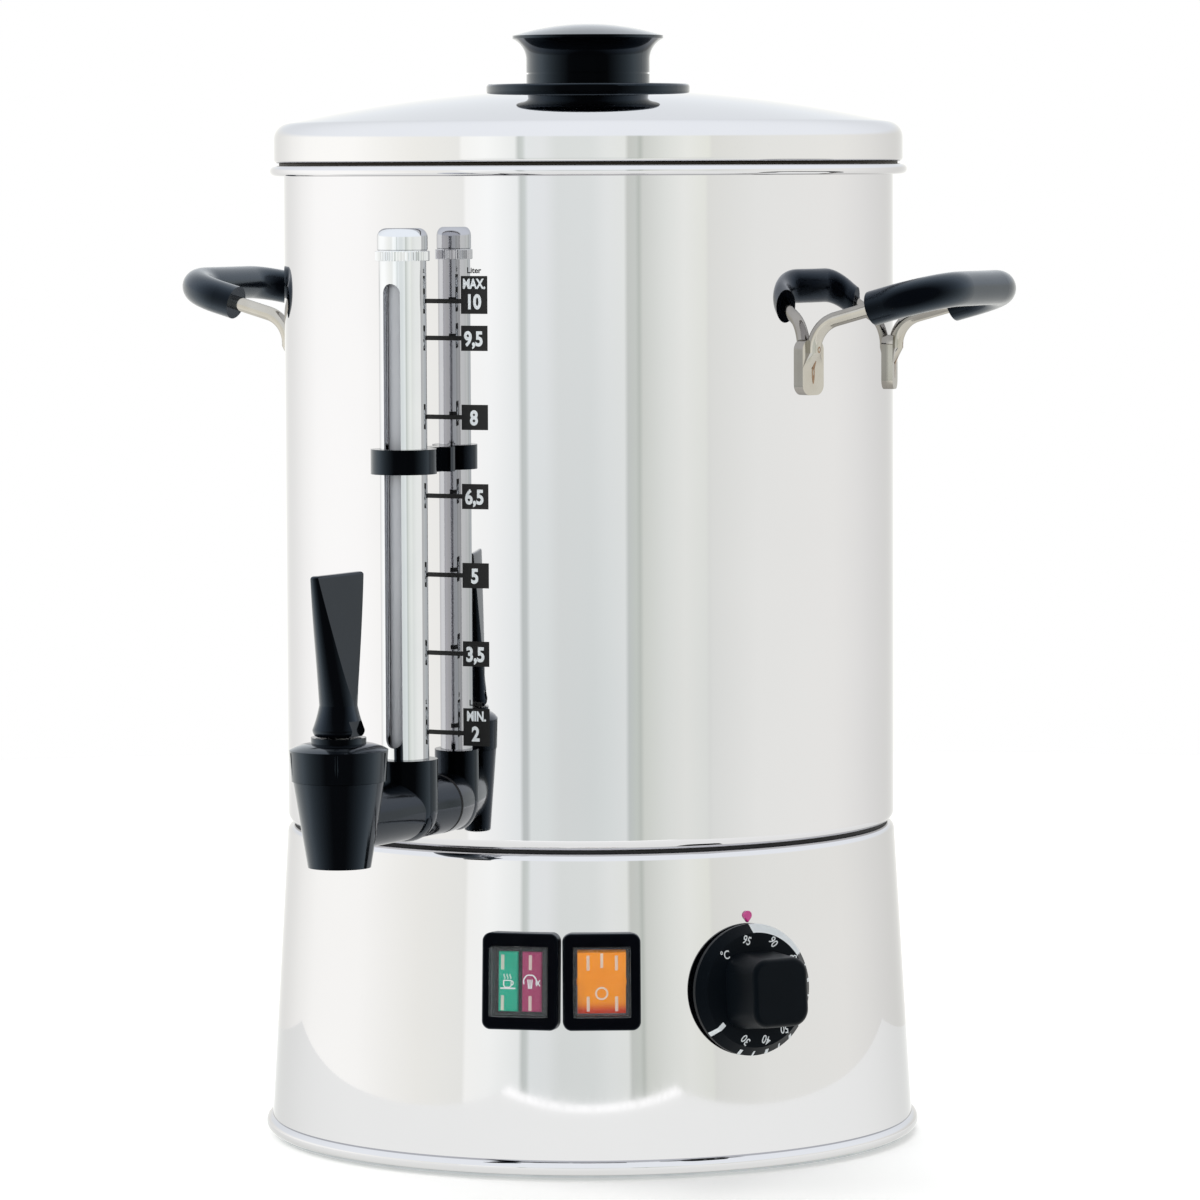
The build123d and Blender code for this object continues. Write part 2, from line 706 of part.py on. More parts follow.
# Body: pipe, gauge boss with a ball end and conical spout in one moulding.
with BuildPart() as tap_body:
    with BuildSketch(tap_plane.offset(vessel_radius / 2)):
        Circle(pipe_radius)
    extrude(amount=tap_radius - vessel_radius / 2)
    with BuildSketch(gauge_section_plane):
        with BuildLine():
            CenterArc((0, tap_height), boss_radius, -quarter_turn, quarter_turn)
            Polyline(
                (boss_radius, tap_height),
                (boss_radius, tap_height + boss_above_pipe),
                (0, tap_height + boss_above_pipe),
                (0, tap_height - boss_radius),
            )
        make_face()
    revolve(axis=gauge_axis)
    with BuildSketch(tap_section_plane):
        with BuildLine():
            Polyline(
                (0, spout_height),
                (cone_foot_radius, spout_height),
                (cone_top_radius, joint_height),
                (0, joint_height),
                close=True,
            )
        make_face()
    revolve(axis=tap_axis)
    add(wall_cylinder, mode=Mode.SUBTRACT)
    with BuildSketch(tap_plane.offset(vessel_bore - shank_length)):
        Circle(shank_radius)
    extrude(amount=shank_length + vessel_wall + pipe_radius)
    # Water way from the vessel to the chamber, chamber, seat and mouth
    with BuildSketch(tap_plane.offset(vessel_bore - shank_length)):
        Circle(pipe_bore)
    extrude(amount=tap_radius - vessel_bore + shank_length, mode=Mode.SUBTRACT)
    with BuildSketch(tap_section_plane):
        with BuildLine():
            Polyline(
                (0, spout_height),
                (spout_mouth, spout_height),
                (spout_mouth, spout_height + spout_mouth_depth / 2),
                (seat_bore, spout_height + spout_mouth_depth),
                (seat_bore, seat_height),
                (chamber_radius, seat_height),
                (chamber_radius, joint_height - neck_depth),
                (neck_radius, joint_height - neck_depth),
                (neck_radius, joint_height),
                (0, joint_height),
                close=True,
            )
        make_face()
    revolve(axis=tap_axis, mode=Mode.SUBTRACT)
    # Socket for the guard tube, socket for the glass, water way to the glass
    for depth_z, radius in (
        (guard_foot, guard_radius + running_gap),
        (glass_foot, glass_radius + running_gap),
        (tap_height, glass_radius - glass_wall),
    ):
        with BuildSketch(Plane.XY.offset(depth_z)):
            with Locations((0, -gauge_radius)):
                Circle(radius)
        extrude(amount=tap_height + boss_above_pipe - depth_z, mode=Mode.SUBTRACT)
save(tap_body.part, "tap_body")

# Saddle seals outside and inside the vessel's wall, and the nut with a face that follows them.
outer_shell = Cylinder(vessel_radius + wall_seal, tall) - Cylinder(vessel_radius, tall)
inner_core = Cylinder(vessel_bore - wall_seal, tall)
inner_shell = Cylinder(vessel_bore, tall) - inner_core
for shell, name in ((outer_shell, "tap_outer_seal"), (inner_shell, "tap_inner_seal")):
    with BuildPart() as tap_seal:
        with BuildSketch(tap_plane.offset(vessel_radius / 2)):
            Circle(pipe_radius)
            Circle(shank_radius + running_gap, mode=Mode.SUBTRACT)
        extrude(amount=vessel_radius)
        add(shell, mode=Mode.INTERSECT)
    save(tap_seal.part, name)

with BuildPart() as tap_nut:
    with BuildSketch(tap_plane.offset(vessel_bore - wall_seal - tap_nut_thickness)):
        RegularPolygon(tap_nut_flats / 2, 6, major_radius=False, rotation=tap_nut_turn)
        Circle(shank_radius + running_gap, mode=Mode.SUBTRACT)
    extrude(amount=tap_nut_thickness)
    add(inner_core, mode=Mode.INTERSECT)
save(tap_nut.part, "tap_nut")

# Bonnet: conical collar with a domed top and a ring that the lever's foot rocks on.
with BuildPart() as tap_bonnet:
    dome_half_way = (bonnet_top_radius + bonnet_ring_radius) / 2
    with BuildSketch(tap_section_plane):
        with BuildLine():
            Polyline(
                (0, bonnet_foot - neck_depth + bonnet_joint),
                (neck_radius - running_gap, bonnet_foot - neck_depth + bonnet_joint),
                (neck_radius - running_gap, bonnet_foot),
                (bonnet_foot_radius, bonnet_foot),
                (bonnet_top_radius, bonnet_shoulder),
            )
            ThreePointArc(
                (bonnet_top_radius, bonnet_shoulder),
                (dome_half_way, bonnet_shoulder + bonnet_dome * bonnet_dome_swell),
                (bonnet_ring_radius, bonnet_shoulder + bonnet_dome),
            )
            Polyline(
                (bonnet_ring_radius, bonnet_shoulder + bonnet_dome),
                (bonnet_ring_radius, bonnet_ring_top),
                (0, bonnet_ring_top),
                (0, bonnet_foot - neck_depth + bonnet_joint),
            )
        make_face()
    revolve(axis=tap_axis)
    with BuildSketch(Plane.XY.offset(bonnet_foot - neck_depth)):
        with Locations((0, -tap_radius)):
            Circle(bonnet_bore)
    extrude(amount=bonnet_ceiling - bonnet_foot + neck_depth, mode=Mode.SUBTRACT)
    with BuildSketch(Plane.XY.offset(bonnet_foot)):
        with Locations((0, -tap_radius)):
            Circle(stem_radius + running_gap)
    extrude(amount=bonnet_ring_top, mode=Mode.SUBTRACT)
    # Upright grooves that give the fingers a hold when the bonnet is unscrewed
    flute_circle = bonnet_top_radius + flute_radius - flute_depth
    with BuildSketch(Plane.XY.offset(bonnet_foot + flute_margin)):
        with Locations((0, -tap_radius)):
            with PolarLocations(flute_circle, flute_count, start_angle=flute_azimuth - quarter_turn):
                Circle(flute_radius)
    extrude(amount=bonnet_side - 2 * flute_margin, mode=Mode.SUBTRACT)
save(tap_bonnet.part, "tap_bonnet")

# Silicone plug that closes the seat, with a pocket for the stem's foot.
with BuildPart() as valve_plug:
    with BuildSketch(tap_section_plane):
        with BuildLine():
            Polyline(
                (0, plug_foot),
                (plug_nose_radius, plug_foot),
                (plug_radius, plug_foot + plug_nose),
                (plug_radius, plug_foot + plug_height),
                (0, plug_foot + plug_height),
                close=True,
            )
        make_face()
    revolve(axis=tap_axis)
    with BuildSketch(Plane.XY.offset(plug_foot + plug_height - stem_in_plug)):
        with Locations((0, -tap_radius)):
            Circle(stem_radius)
    extrude(amount=stem_in_plug, mode=Mode.SUBTRACT)
save(valve_plug.part, "valve_plug")

with BuildPart() as valve_stem:
    stem_foot = plug_foot + plug_height - stem_in_plug
    with BuildSketch(Plane.XY.offset(stem_foot)):
        with Locations((0, -tap_radius)):
            Circle(stem_radius)
    extrude(amount=pivot_height - stem_foot)
    with BuildSketch(Plane.YZ.offset(-stem_eye_width / 2)):
        with Locations((-tap_radius, pivot_height)):
            Circle(stem_eye_radius)
    extrude(amount=stem_eye_width)
    with BuildSketch(Plane.YZ.offset(-stem_eye_width)):
        with Locations((-tap_radius, pivot_height)):
            Circle(pin_radius + running_gap)
    extrude(amount=2 * stem_eye_width, mode=Mode.SUBTRACT)
save(valve_stem.part, "valve_stem")

# Return spring between the plug and the bonnet's ceiling.
with BuildPart() as valve_spring:
    spring_foot = plug_foot + plug_height + spring_wire
    spring_rise = bonnet_ceiling - spring_wire - spring_foot
    with BuildLine() as coil:
        Helix(spring_rise / spring_turns, spring_rise, spring_radius, center=(0, -tap_radius, spring_foot))
    with BuildSketch(Plane(coil.line @ 0, z_dir=coil.line % 0)):
        Circle(spring_wire)
    sweep()
save(valve_spring.part, "valve_spring")

# Lever: a round foot and neck that widens fore and aft and is pressed flat into a thin blade at the top.
with BuildPart() as tap_lever:
    neck_z = lever_foot_z + lever_neck_height
    top_z = lever_foot_z + lever_height
    with BuildSketch(tap_section_plane):
        with BuildLine():
            Polyline(
                (0, lever_foot_z),
                (lever_foot_radius - running_gap - lever_foot_height / 2, lever_foot_z),
            )
            ThreePointArc(
                (lever_foot_radius - running_gap - lever_foot_height / 2, lever_foot_z),
                (lever_foot_radius - lever_foot_height / 6, lever_foot_z + lever_foot_height / 3),
                (lever_foot_radius, lever_foot_z + lever_foot_height),
            )
            ThreePointArc(
                (lever_foot_radius, lever_foot_z + lever_foot_height),
                (lever_neck_radius + lever_waist, (lever_foot_z + lever_foot_height + neck_z) / 2),
                (lever_neck_radius, neck_z),
            )
            Polyline((lever_neck_radius, neck_z), (0, neck_z), (0, lever_foot_z))
        make_face()
    revolve(axis=tap_axis)
    with BuildPart(mode=Mode.PRIVATE) as lever_blade:
        with BuildSketch(Plane((0, -tap_radius, neck_z), x_dir=(0, 1, 0))):
            Circle(lever_neck_radius)
        blade_middle = (lever_blade_back - lever_blade_front) / 2 - tap_radius
        with BuildSketch(Plane((0, blade_middle, top_z), x_dir=(0, 1, 0))):
            Ellipse((lever_blade_front + lever_blade_back) / 2, lever_neck_radius)
        loft(ruled=True)
        with BuildSketch(tap_section_plane):
            wedge_foot = lever_neck_radius + slip_gap
            wedge_top = lever_blade_width / 2
            with BuildLine():
                Polyline(
                    (-wedge_foot, neck_z),
                    (wedge_foot, neck_z),
                    (wedge_top, top_z),
                    (-wedge_top, top_z),
                    close=True,
                )
            make_face()
        extrude(amount=lever_height, both=True, mode=Mode.INTERSECT)
        fillet(edges().group_by(Axis.Z)[-1], lever_blade_edge)
    add(lever_blade)
    with BuildSketch(Plane.XY.offset(lever_foot_z)):
        with Locations((0, (lever_slot_back - lever_slot_front) / 2 - tap_radius)):
            Rectangle(2 * (stem_radius + free_gap), lever_slot_front + lever_slot_back)
    extrude(amount=pivot_above_foot + stem_eye_radius + 2 * free_gap, mode=Mode.SUBTRACT)
    with BuildSketch(Plane.YZ.offset(-pin_length / 2)):
        with Locations((-tap_radius, pivot_height)):
            Circle(pin_radius)
    extrude(amount=pin_length, mode=Mode.SUBTRACT)
    for notch_side in (-1, 1):
        with BuildSketch(Plane.YZ.offset(notch_side * (pin_length / 2 + slip_gap))):
            with Locations((-tap_radius, lever_foot_z)):
                Rectangle(pin_notch_width, 2 * pin_notch_height)
        extrude(amount=notch_side * lever_foot_radius, mode=Mode.SUBTRACT)
save(tap_lever.part, "tap_lever")

with BuildPart() as lever_pin:
    with BuildSketch(Plane.YZ.offset(-pin_length / 2)):
        with Locations((-tap_radius, pivot_height)):
            Circle(pin_radius)
    extrude(amount=pin_length)
save(lever_pin.part, "lever_pin")

# ================================================================ level gauge
with BuildPart() as gauge_glass:
    with BuildSketch(Plane.XY.offset(glass_foot)):
        with Locations((0, -gauge_radius)):
            Circle(glass_radius)
            Circle(glass_radius - glass_wall, mode=Mode.SUBTRACT)
    extrude(amount=guard_top - gauge_seal_height - glass_foot)
save(gauge_glass.part, "gauge_glass")

# Guard tube with a long round-ended window towards the front.
with BuildPart() as gauge_guard:
    with BuildSketch(Plane.XY.offset(guard_foot)):
        with Locations((0, -gauge_radius)):
            Circle(guard_radius)
            Circle(guard_radius - guard_wall, mode=Mode.SUBTRACT)
    extrude(amount=guard_height)
    window_middle = guard_foot + guard_window_foot + guard_window_height / 2
    with BuildSketch(wall_plane(0, gauge_radius, window_middle)):
        SlotOverall(guard_window_height, guard_window, rotation=quarter_turn)
    extrude(amount=2 * guard_radius, mode=Mode.SUBTRACT)
save(gauge_guard.part, "gauge_guard")

with BuildPart() as gauge_cap:
    with BuildSketch(gauge_section_plane):
        with BuildLine():
            Polyline(
                (0, cap_foot),
                (cap_band_radius, cap_foot),
                (cap_band_radius, cap_foot + cap_band_height),
                (cap_radius, cap_foot + cap_band_height),
                (cap_radius, cap_foot + cap_height),
                (0, cap_foot + cap_height),
                close=True,
            )
        make_face()
    revolve(axis=gauge_axis)
    fillet(edges().group_by(Axis.Z)[-1], cap_crown)
    with BuildSketch(Plane.XY.offset(cap_foot)):
        with Locations((0, -gauge_radius)):
            Circle(guard_radius + running_gap)
    extrude(amount=cap_overlap, mode=Mode.SUBTRACT)
    # Knurled band: grooves round the cap's foot
    with BuildSketch(Plane.XY.offset(cap_foot)):
        with Locations((0, -gauge_radius)):
            with PolarLocations(cap_band_radius, cap_rib_count):
                Rectangle(2 * cap_groove, pi * cap_band_radius / cap_rib_count)
    extrude(amount=cap_band_height, mode=Mode.SUBTRACT)
save(gauge_cap.part, "gauge_cap")

# Seals round the glass at both ends of the guard tube.
for seal_foot, name in (
    (guard_foot, "gauge_bottom_seal"),
    (guard_top - 2 * gauge_seal_height, "gauge_top_seal"),
):
    with BuildPart() as gauge_seal:
        with BuildSketch(Plane.XY.offset(seal_foot)):
            with Locations((0, -gauge_radius)):
                Circle(guard_radius - guard_wall)
                Circle(glass_radius, mode=Mode.SUBTRACT)
        extrude(amount=gauge_seal_height)
    save(gauge_seal.part, name)

# Clip half way up: a band round the guard, a web and a foot that follows the vessel's wall.
vessel_core = Cylinder(vessel_radius, tall)
with BuildPart() as gauge_clip:
    clip_foot_z = guard_foot + clip_middle - clip_height / 2
    with BuildSketch(Plane.XY.offset(clip_foot_z)):
        with Locations((0, -gauge_radius)):
            Circle(clip_radius)
        with Locations((0, -vessel_radius + clip_foot_thickness)):
            Rectangle(clip_web, gauge_reach + clip_foot_thickness, align=(Align.CENTER, Align.MAX))
        with Locations((0, -vessel_radius - clip_foot_thickness)):
            Rectangle(clip_foot_width, 4 * clip_foot_thickness, align=(Align.CENTER, Align.MIN))
        with Locations((0, -gauge_radius)):
            Circle(guard_radius + running_gap, mode=Mode.SUBTRACT)
    extrude(amount=clip_height)
    add(vessel_core, mode=Mode.SUBTRACT)
save(gauge_clip.part, "gauge_clip")

# ================================================================ handles
# Each handle is a bent steel rod whose flattened ends are welded to the wall, with a moulded grip.
rod_ring = vessel_radius + handle_rod_radius
rod_side = rod_ring * sin(radians(tab_spread))
rod_out = rod_ring * cos(radians(tab_spread))
grip_out = vessel_radius + handle_arm_reach
arm_slope = handle_bow_rise / handle_bow_reach
corner_height = handle_arm_height - arm_slope * (grip_out - rod_out)
bow_length = sqrt(handle_bow_reach**2 + handle_bow_rise**2)
bend_run = handle_bend * tan((pi / 2 - atan(arm_slope)) / 2)
leg_foot = corner_height - bend_run - handle_leg
for side, flip in (("right", 1), ("left", -1)):
    bow_plane = Plane(
        origin=(flip * grip_out, 0, handle_arm_height),
        x_dir=(0, -1, 0),
        z_dir=Vector(0, -1, 0).cross(Vector(flip * handle_bow_reach, 0, handle_bow_rise)),
    )
    with BuildLine(bow_plane) as bow_line:
        bow_points = [(rod_side, 0), (rod_side, bow_length), (-rod_side, bow_length), (-rod_side, 0)]
        FilletPolyline(*bow_points, radius=handle_bow_corner)
    bow = bow_line.wires()[0]
    with BuildPart() as handle_bracket:
        with BuildLine() as rod_line:
            for end in (-rod_side, rod_side):
                FilletPolyline(
                    (flip * rod_out, end, leg_foot),
                    (flip * rod_out, end, corner_height),
                    (flip * grip_out, end, handle_arm_height),
                    radius=handle_bend,
                )
            add(bow.edges())
        with BuildSketch(Plane((flip * rod_out, -rod_side, leg_foot))):
            Circle(handle_rod_radius)
        sweep(path=Wire(rod_line.edges()))
        # Each end is pressed flat below the bend
        for spread in (-tab_spread, tab_spread):
            tab_azimuth = flip * quarter_turn + spread
            tab_end = wall_plane(tab_azimuth, vessel_radius + tab_thickness / 2, leg_foot - flatten_length)
            with BuildSketch(Plane(tab_end.origin, x_dir=tab_end.x_dir)):
                Rectangle(tab_width, tab_thickness)
            with BuildSketch(Plane((flip * rod_out, copysign(rod_side, flip * spread), leg_foot))):
                Circle(handle_rod_radius)
            loft(ruled=True)
            tab_middle = tab_foot_height + tab_height / 2
            with BuildSketch(wall_plane(tab_azimuth, vessel_radius - tab_thickness, tab_middle)):
                RectangleRounded(tab_width, tab_height, tab_width / 3)
            extrude(amount=2 * tab_thickness)
        add(vessel_core, mode=Mode.SUBTRACT)
    save(handle_bracket.part, f"{side}_handle_bracket")
    with BuildPart() as handle_grip:
        for radius, mode in (
            (grip_radius, Mode.ADD),
            (handle_rod_radius + running_gap, Mode.SUBTRACT),
        ):
            with BuildSketch(Plane(bow @ 0, z_dir=bow % 0)):
                Circle(radius)
            sweep(path=bow, mode=mode)
    save(handle_grip.part, f"{side}_handle_grip")

# ================================================================ pilot lights and rocker switch
# Both units share the frame and the clear splash cover. Each frame's back follows the base's wall.
base_core = cone_solid(0, bead_top, base_height)


def make_frame(panel, name):
    """Black frame: outer edge rounded, window stepped for the housing and the cover's flange."""
    with BuildPart() as frame:
        with BuildSketch(panel.offset(-housing_depth / 2)):
            RectangleRounded(frame_width, frame_height, frame_corner)
        extrude(amount=housing_depth / 2 + frame_proud)
        fillet(frame.faces().sort_by(Axis(panel.origin, panel.z_dir))[-1].edges(), frame_lip)
        add(base_core, mode=Mode.SUBTRACT)
        for back, front, width, height in (
            (-housing_depth, frame_proud - frame_lip, housing_width, housing_height),
            (0, 2 * frame_proud, cover_width, cover_height),
        ):
            with BuildSketch(panel.offset(back)):
                Rectangle(width + 2 * slip_gap, height + 2 * slip_gap)
            extrude(amount=front - back, mode=Mode.SUBTRACT)
    save(frame.part, name)


def make_cover(panel, name):
    """Clear splash cover: a thin box, open at the back, with a flange behind the frame's lip."""
    with BuildPart() as cover:
        with BuildSketch(panel.offset(housing_front)):
            RectangleRounded(housing_width, housing_height, cover_corner)
        extrude(amount=cover_flange)
        with BuildSketch(panel.offset(housing_front)):
            RectangleRounded(cover_width, cover_height, cover_corner)
        extrude(amount=cover_proud - housing_front)
        front = cover.faces().sort_by(Axis(panel.origin, panel.z_dir))[-1]
        fillet(front.edges(), cover_corner / 2)
        with BuildSketch(panel.offset(housing_front)):
            Rectangle(cover_width - 2 * cover_wall, cover_height - 2 * cover_wall)
        extrude(amount=cover_proud - cover_wall - housing_front, mode=Mode.SUBTRACT)
    save(cover.part, name)


make_frame(pilot_plane, "pilot_frame")
make_frame(switch_plane, "switch_frame")
make_cover(pilot_plane, "pilot_cover")
make_cover(switch_plane, "switch_cover")

# Housing of the pilot lights: a block through the base's wall with two lens pockets and four blades.
lens_offset = (lens_width + lens_gap) / 2
with BuildPart() as pilot_housing:
    with BuildSketch(pilot_plane.offset(housing_front - housing_depth)):
        Rectangle(housing_width, housing_height)
    extrude(amount=housing_depth)
    with BuildSketch(pilot_plane.offset(housing_front - lens_depth)):
        with GridLocations(2 * lens_offset, 0, 2, 1):
            Rectangle(lens_width + 2 * running_gap, lens_height + 2 * running_gap)
    extrude(amount=lens_depth, mode=Mode.SUBTRACT)
    with BuildSketch(pilot_plane.offset(housing_front - housing_depth - terminal_length)):
        with GridLocations(2 * lens_offset, 2 * terminal_pitch, 2, 2):
            Rectangle(terminal_width, terminal_thickness)
    extrude(amount=terminal_length)
save(pilot_housing.part, "pilot_housing")

for sign, name in ((-1, "pilot_lens_green"), (1, "pilot_lens_red")):
    with BuildPart() as lens:
        with BuildSketch(pilot_plane.offset(housing_front - lens_depth)):
            with Locations((sign * lens_offset, 0)):
                Rectangle(lens_width, lens_height)
        extrude(amount=lens_depth + lens_proud)
        lens_face = lens.faces().sort_by(Axis(pilot_plane.origin, pilot_plane.z_dir))[-1]
        fillet(lens_face.edges(), lens_proud / 2)
    save(lens.part, name)

# Housing of the switch: a block with a well that the rocker swings in, and axle holes in its walls.
well_length = 2 * sqrt((rocker_length / 2) ** 2 + rocker_face**2) + 2 * free_gap
with BuildPart() as switch_housing:
    with BuildSketch(switch_plane.offset(housing_front - housing_depth)):
        Rectangle(housing_width, housing_height)
    extrude(amount=housing_depth)
    with BuildSketch(switch_plane.offset(housing_front - rocker_well)):
        Rectangle(rocker_width + 2 * free_gap, well_length)
    extrude(amount=rocker_well, mode=Mode.SUBTRACT)
    with BuildSketch(switch_plane.offset(housing_front - housing_depth - terminal_length)):
        with GridLocations(2 * lens_offset, 2 * terminal_pitch, 2, 2):
            Rectangle(terminal_width, terminal_thickness)
    extrude(amount=terminal_length)
    pivot_place = switch_plane.offset(rocker_pivot).origin
    rocker_section = Plane(pivot_place, x_dir=switch_plane.y_dir, z_dir=switch_plane.x_dir)
    axle_span = rocker_width / 2 + rocker_axle_length
    with BuildSketch(rocker_section.offset(-axle_span - slip_gap)):
        Circle(rocker_axle_radius + running_gap)
    extrude(amount=2 * (axle_span + slip_gap), mode=Mode.SUBTRACT)
save(switch_housing.part, "switch_housing")

# Rocker, shown with its lower end pressed in. Its section lies square to the axle.
with BuildPart() as switch_rocker:
    half = rocker_length / 2
    tilt = radians(rocker_tilt)
    outline = [
        (-half, -rocker_face),
        (-half / 2, -rocker_skirt),
        (half / 2, -rocker_skirt),
        (half, -rocker_face),
        (half, rocker_face),
        (0, rocker_face - rocker_dip),
        (-half, rocker_face),
    ]
    turned = [
        (along * cos(tilt) - out * sin(tilt), along * sin(tilt) + out * cos(tilt)) for along, out in outline
    ]
    with BuildSketch(rocker_section.offset(-rocker_width / 2)):
        with BuildLine():
            Polyline(*turned, close=True)
        make_face()
    extrude(amount=rocker_width)
    with BuildSketch(rocker_section.offset(-axle_span)):
        Circle(rocker_axle_radius)
    extrude(amount=2 * axle_span)
save(switch_rocker.part, "switch_rocker")

# ================================================================ thermostat
with BuildPart() as thermostat_body:
    with BuildSketch(dial_plane.offset(-thermostat_setback - thermostat_depth)):
        RectangleRounded(thermostat_width, thermostat_height, thermostat_setback)
    extrude(amount=thermostat_depth)
    with BuildSketch(dial_plane.offset(-thermostat_setback)):
        Circle(bushing_radius)
    extrude(amount=thermostat_setback + bushing_proud)
    with BuildSketch(dial_plane.offset(-thermostat_setback - shaft_in_body - free_gap)):
        Circle(shaft_radius + running_gap)
    extrude(amount=2 * thermostat_depth, mode=Mode.SUBTRACT)
    with BuildSketch(dial_plane.offset(-thermostat_setback - thermostat_depth - terminal_length)):
        with GridLocations(0, 2 * terminal_pitch, 1, 2):
            Rectangle(terminal_width, terminal_thickness)
    extrude(amount=terminal_length)
save(thermostat_body.part, "thermostat_body")

with BuildPart() as thermostat_nut:
    with BuildSketch(dial_plane):
        RegularPolygon(bushing_nut_flats / 2, 6, major_radius=False)
        Circle(bushing_radius + running_gap, mode=Mode.SUBTRACT)
    extrude(amount=bushing_nut_height)
save(thermostat_nut.part, "thermostat_nut")


def shaft_outline(play):
    """Round shaft with one flat, as a sketch round the dial's axis."""
    with BuildSketch() as outline:
        Circle(shaft_radius + play)
        with Locations((shaft_flat + play + shaft_radius, 0)):
            Rectangle(2 * shaft_radius, 4 * shaft_radius, mode=Mode.SUBTRACT)
    return outline.sketch


with BuildPart() as thermostat_shaft:
    shaft_foot = -thermostat_setback - shaft_in_body
    with BuildSketch(dial_plane.offset(shaft_foot)):
        Circle(shaft_radius)
    extrude(amount=bushing_proud - shaft_foot)
    with BuildSketch(dial_plane.offset(bushing_proud)):
        add(shaft_outline(0))
    extrude(amount=dial_bore_depth)
save(thermostat_shaft.part, "thermostat_shaft")

# Dial: skirt with a bevelled rim, and a raised grip with four rounded corners.
with BuildPart() as thermostat_knob:
    dial_axis = Axis(dial_plane.origin, dial_plane.z_dir)
    with BuildSketch(dial_plane.offset(dial_gap)):
        Circle(dial_radius)
    extrude(amount=dial_side)
    with BuildSketch(dial_plane.offset(dial_gap + dial_side)):
        Circle(dial_radius)
    with BuildSketch(dial_plane.offset(dial_face)):
        Circle(dial_radius - dial_bevel_width)
    loft()
    with BuildSketch(dial_plane.offset(dial_face)):
        RectangleRounded(grip_foot_width, grip_foot_height, grip_corner)
    with BuildSketch(dial_plane.offset(dial_face + grip_length)):
        corner = grip_corner * grip_top_width / grip_foot_width
        RectangleRounded(grip_top_width, grip_top_height, corner)
    loft()
    fillet(faces().sort_by(dial_axis)[-1].edges(), grip_edge)
    # Hollow back round a hub that holds the shaft
    with BuildSketch(dial_plane.offset(dial_gap)):
        Circle(dial_radius - dial_bevel_width - dial_wall)
        Circle(dial_hub_radius, mode=Mode.SUBTRACT)
    extrude(amount=dial_side + dial_bevel_height - dial_wall, mode=Mode.SUBTRACT)
    with BuildSketch(dial_plane.offset(dial_gap)):
        Circle(dial_hub_radius + dial_wall)
    extrude(amount=bushing_proud + free_gap - dial_gap, mode=Mode.SUBTRACT)
    with BuildSketch(dial_plane.offset(dial_gap)):
        add(shaft_outline(running_gap))
    extrude(amount=bushing_proud + dial_bore_depth + slip_gap - dial_gap, mode=Mode.SUBTRACT)
save(thermostat_knob.part, "thermostat_knob")

# Drop-shaped marker above the dial, on a pin through the base's wall.
with BuildPart() as dial_marker:
    with BuildSketch(marker_plane.offset(-marker_proud)):
        Circle(marker_radius)
        with BuildLine():
            touch = asin(marker_radius / marker_tip)
            side_point = (marker_radius * cos(touch), -marker_radius * sin(touch))
            Polyline(side_point, (0, -marker_tip), (-side_point[0], side_point[1]), close=True)
        make_face()
    extrude(amount=2 * marker_proud)
    fillet(faces().sort_by(Axis(marker_plane.origin, marker_plane.z_dir))[-1].edges(), marker_proud / 3)
    add(base_core, mode=Mode.SUBTRACT)
    with BuildSketch(marker_plane.offset(-2 * base_sheet)):
        Circle(marker_pin)
    extrude(amount=2 * base_sheet + marker_proud / 2)
save(dial_marker.part, "dial_marker")

# Bulb held under the vessel, with the capillary that joins it to the thermostat.
with BuildPart() as thermostat_bulb:
    bulb_height = vessel_floor - bulb_radius
    bulb_turn = radians(dial_azimuth)
    bulb_way = Vector(cos(bulb_turn), sin(bulb_turn), 0)
    bulb_middle = Vector(sin(bulb_turn), -cos(bulb_turn), 0) * (spreader_radius + 3 * bulb_radius)
    bulb_start = bulb_middle - bulb_way * (bulb_length / 2) + Vector(0, 0, bulb_height)
    with BuildSketch(Plane(bulb_start, z_dir=bulb_way)):
        Circle(bulb_radius)
    extrude(amount=bulb_length)
    capillary_foot = dial_plane.offset(-thermostat_setback - thermostat_depth / 2).origin
    body_top = capillary_foot + dial_plane.y_dir * (thermostat_height / 2 + slip_gap)
    above_body = Vector(body_top.X, body_top.Y, bulb_height)
    bulb_end = bulb_start + bulb_way * bulb_length
    past_bulb = bulb_end + bulb_way * (4 * capillary_bend)
    with BuildLine() as capillary:
        FilletPolyline(bulb_end, past_bulb, above_body, body_top, radius=capillary_bend)
    with BuildSketch(Plane(bulb_end, z_dir=bulb_way)):
        Circle(capillary_radius)
    sweep(path=capillary.wires()[0])
save(thermostat_bulb.part, "thermostat_bulb")

# ================================================================ mains entry
with BuildPart() as cable_gland:
    with BuildSketch(gland_plane.offset(-base_sheet - gland_inside)):
        Circle(gland_thread_radius)
    extrude(amount=base_sheet + gland_inside)
    with BuildSketch(gland_plane):
        RegularPolygon(gland_flange_radius, 6)
    extrude(amount=gland_flange)
    with BuildSketch(gland_plane.offset(gland_flange)):
        Circle(gland_flange_radius - gland_flange / 2)
    with BuildSketch(gland_plane.offset(gland_flange + gland_nose)):
        Circle(gland_nose_radius)
    loft()
    with BuildSketch(gland_plane.offset(-base_sheet - gland_inside)):
        Circle(gland_bore)
    extrude(amount=2 * (gland_inside + gland_nose), mode=Mode.SUBTRACT)
save(cable_gland.part, "cable_gland")

with BuildPart() as gland_nut:
    nut_seat = base_sheet + (gland_nut_flats / sqrt(3)) ** 2 / (2 * base_radius(gland_height))
    with BuildSketch(gland_plane.offset(-nut_seat - gland_nut_height)):
        RegularPolygon(gland_nut_flats / 2, 6, major_radius=False)
        Circle(gland_thread_radius + running_gap, mode=Mode.SUBTRACT)
    extrude(amount=gland_nut_height)
save(gland_nut.part, "gland_nut")

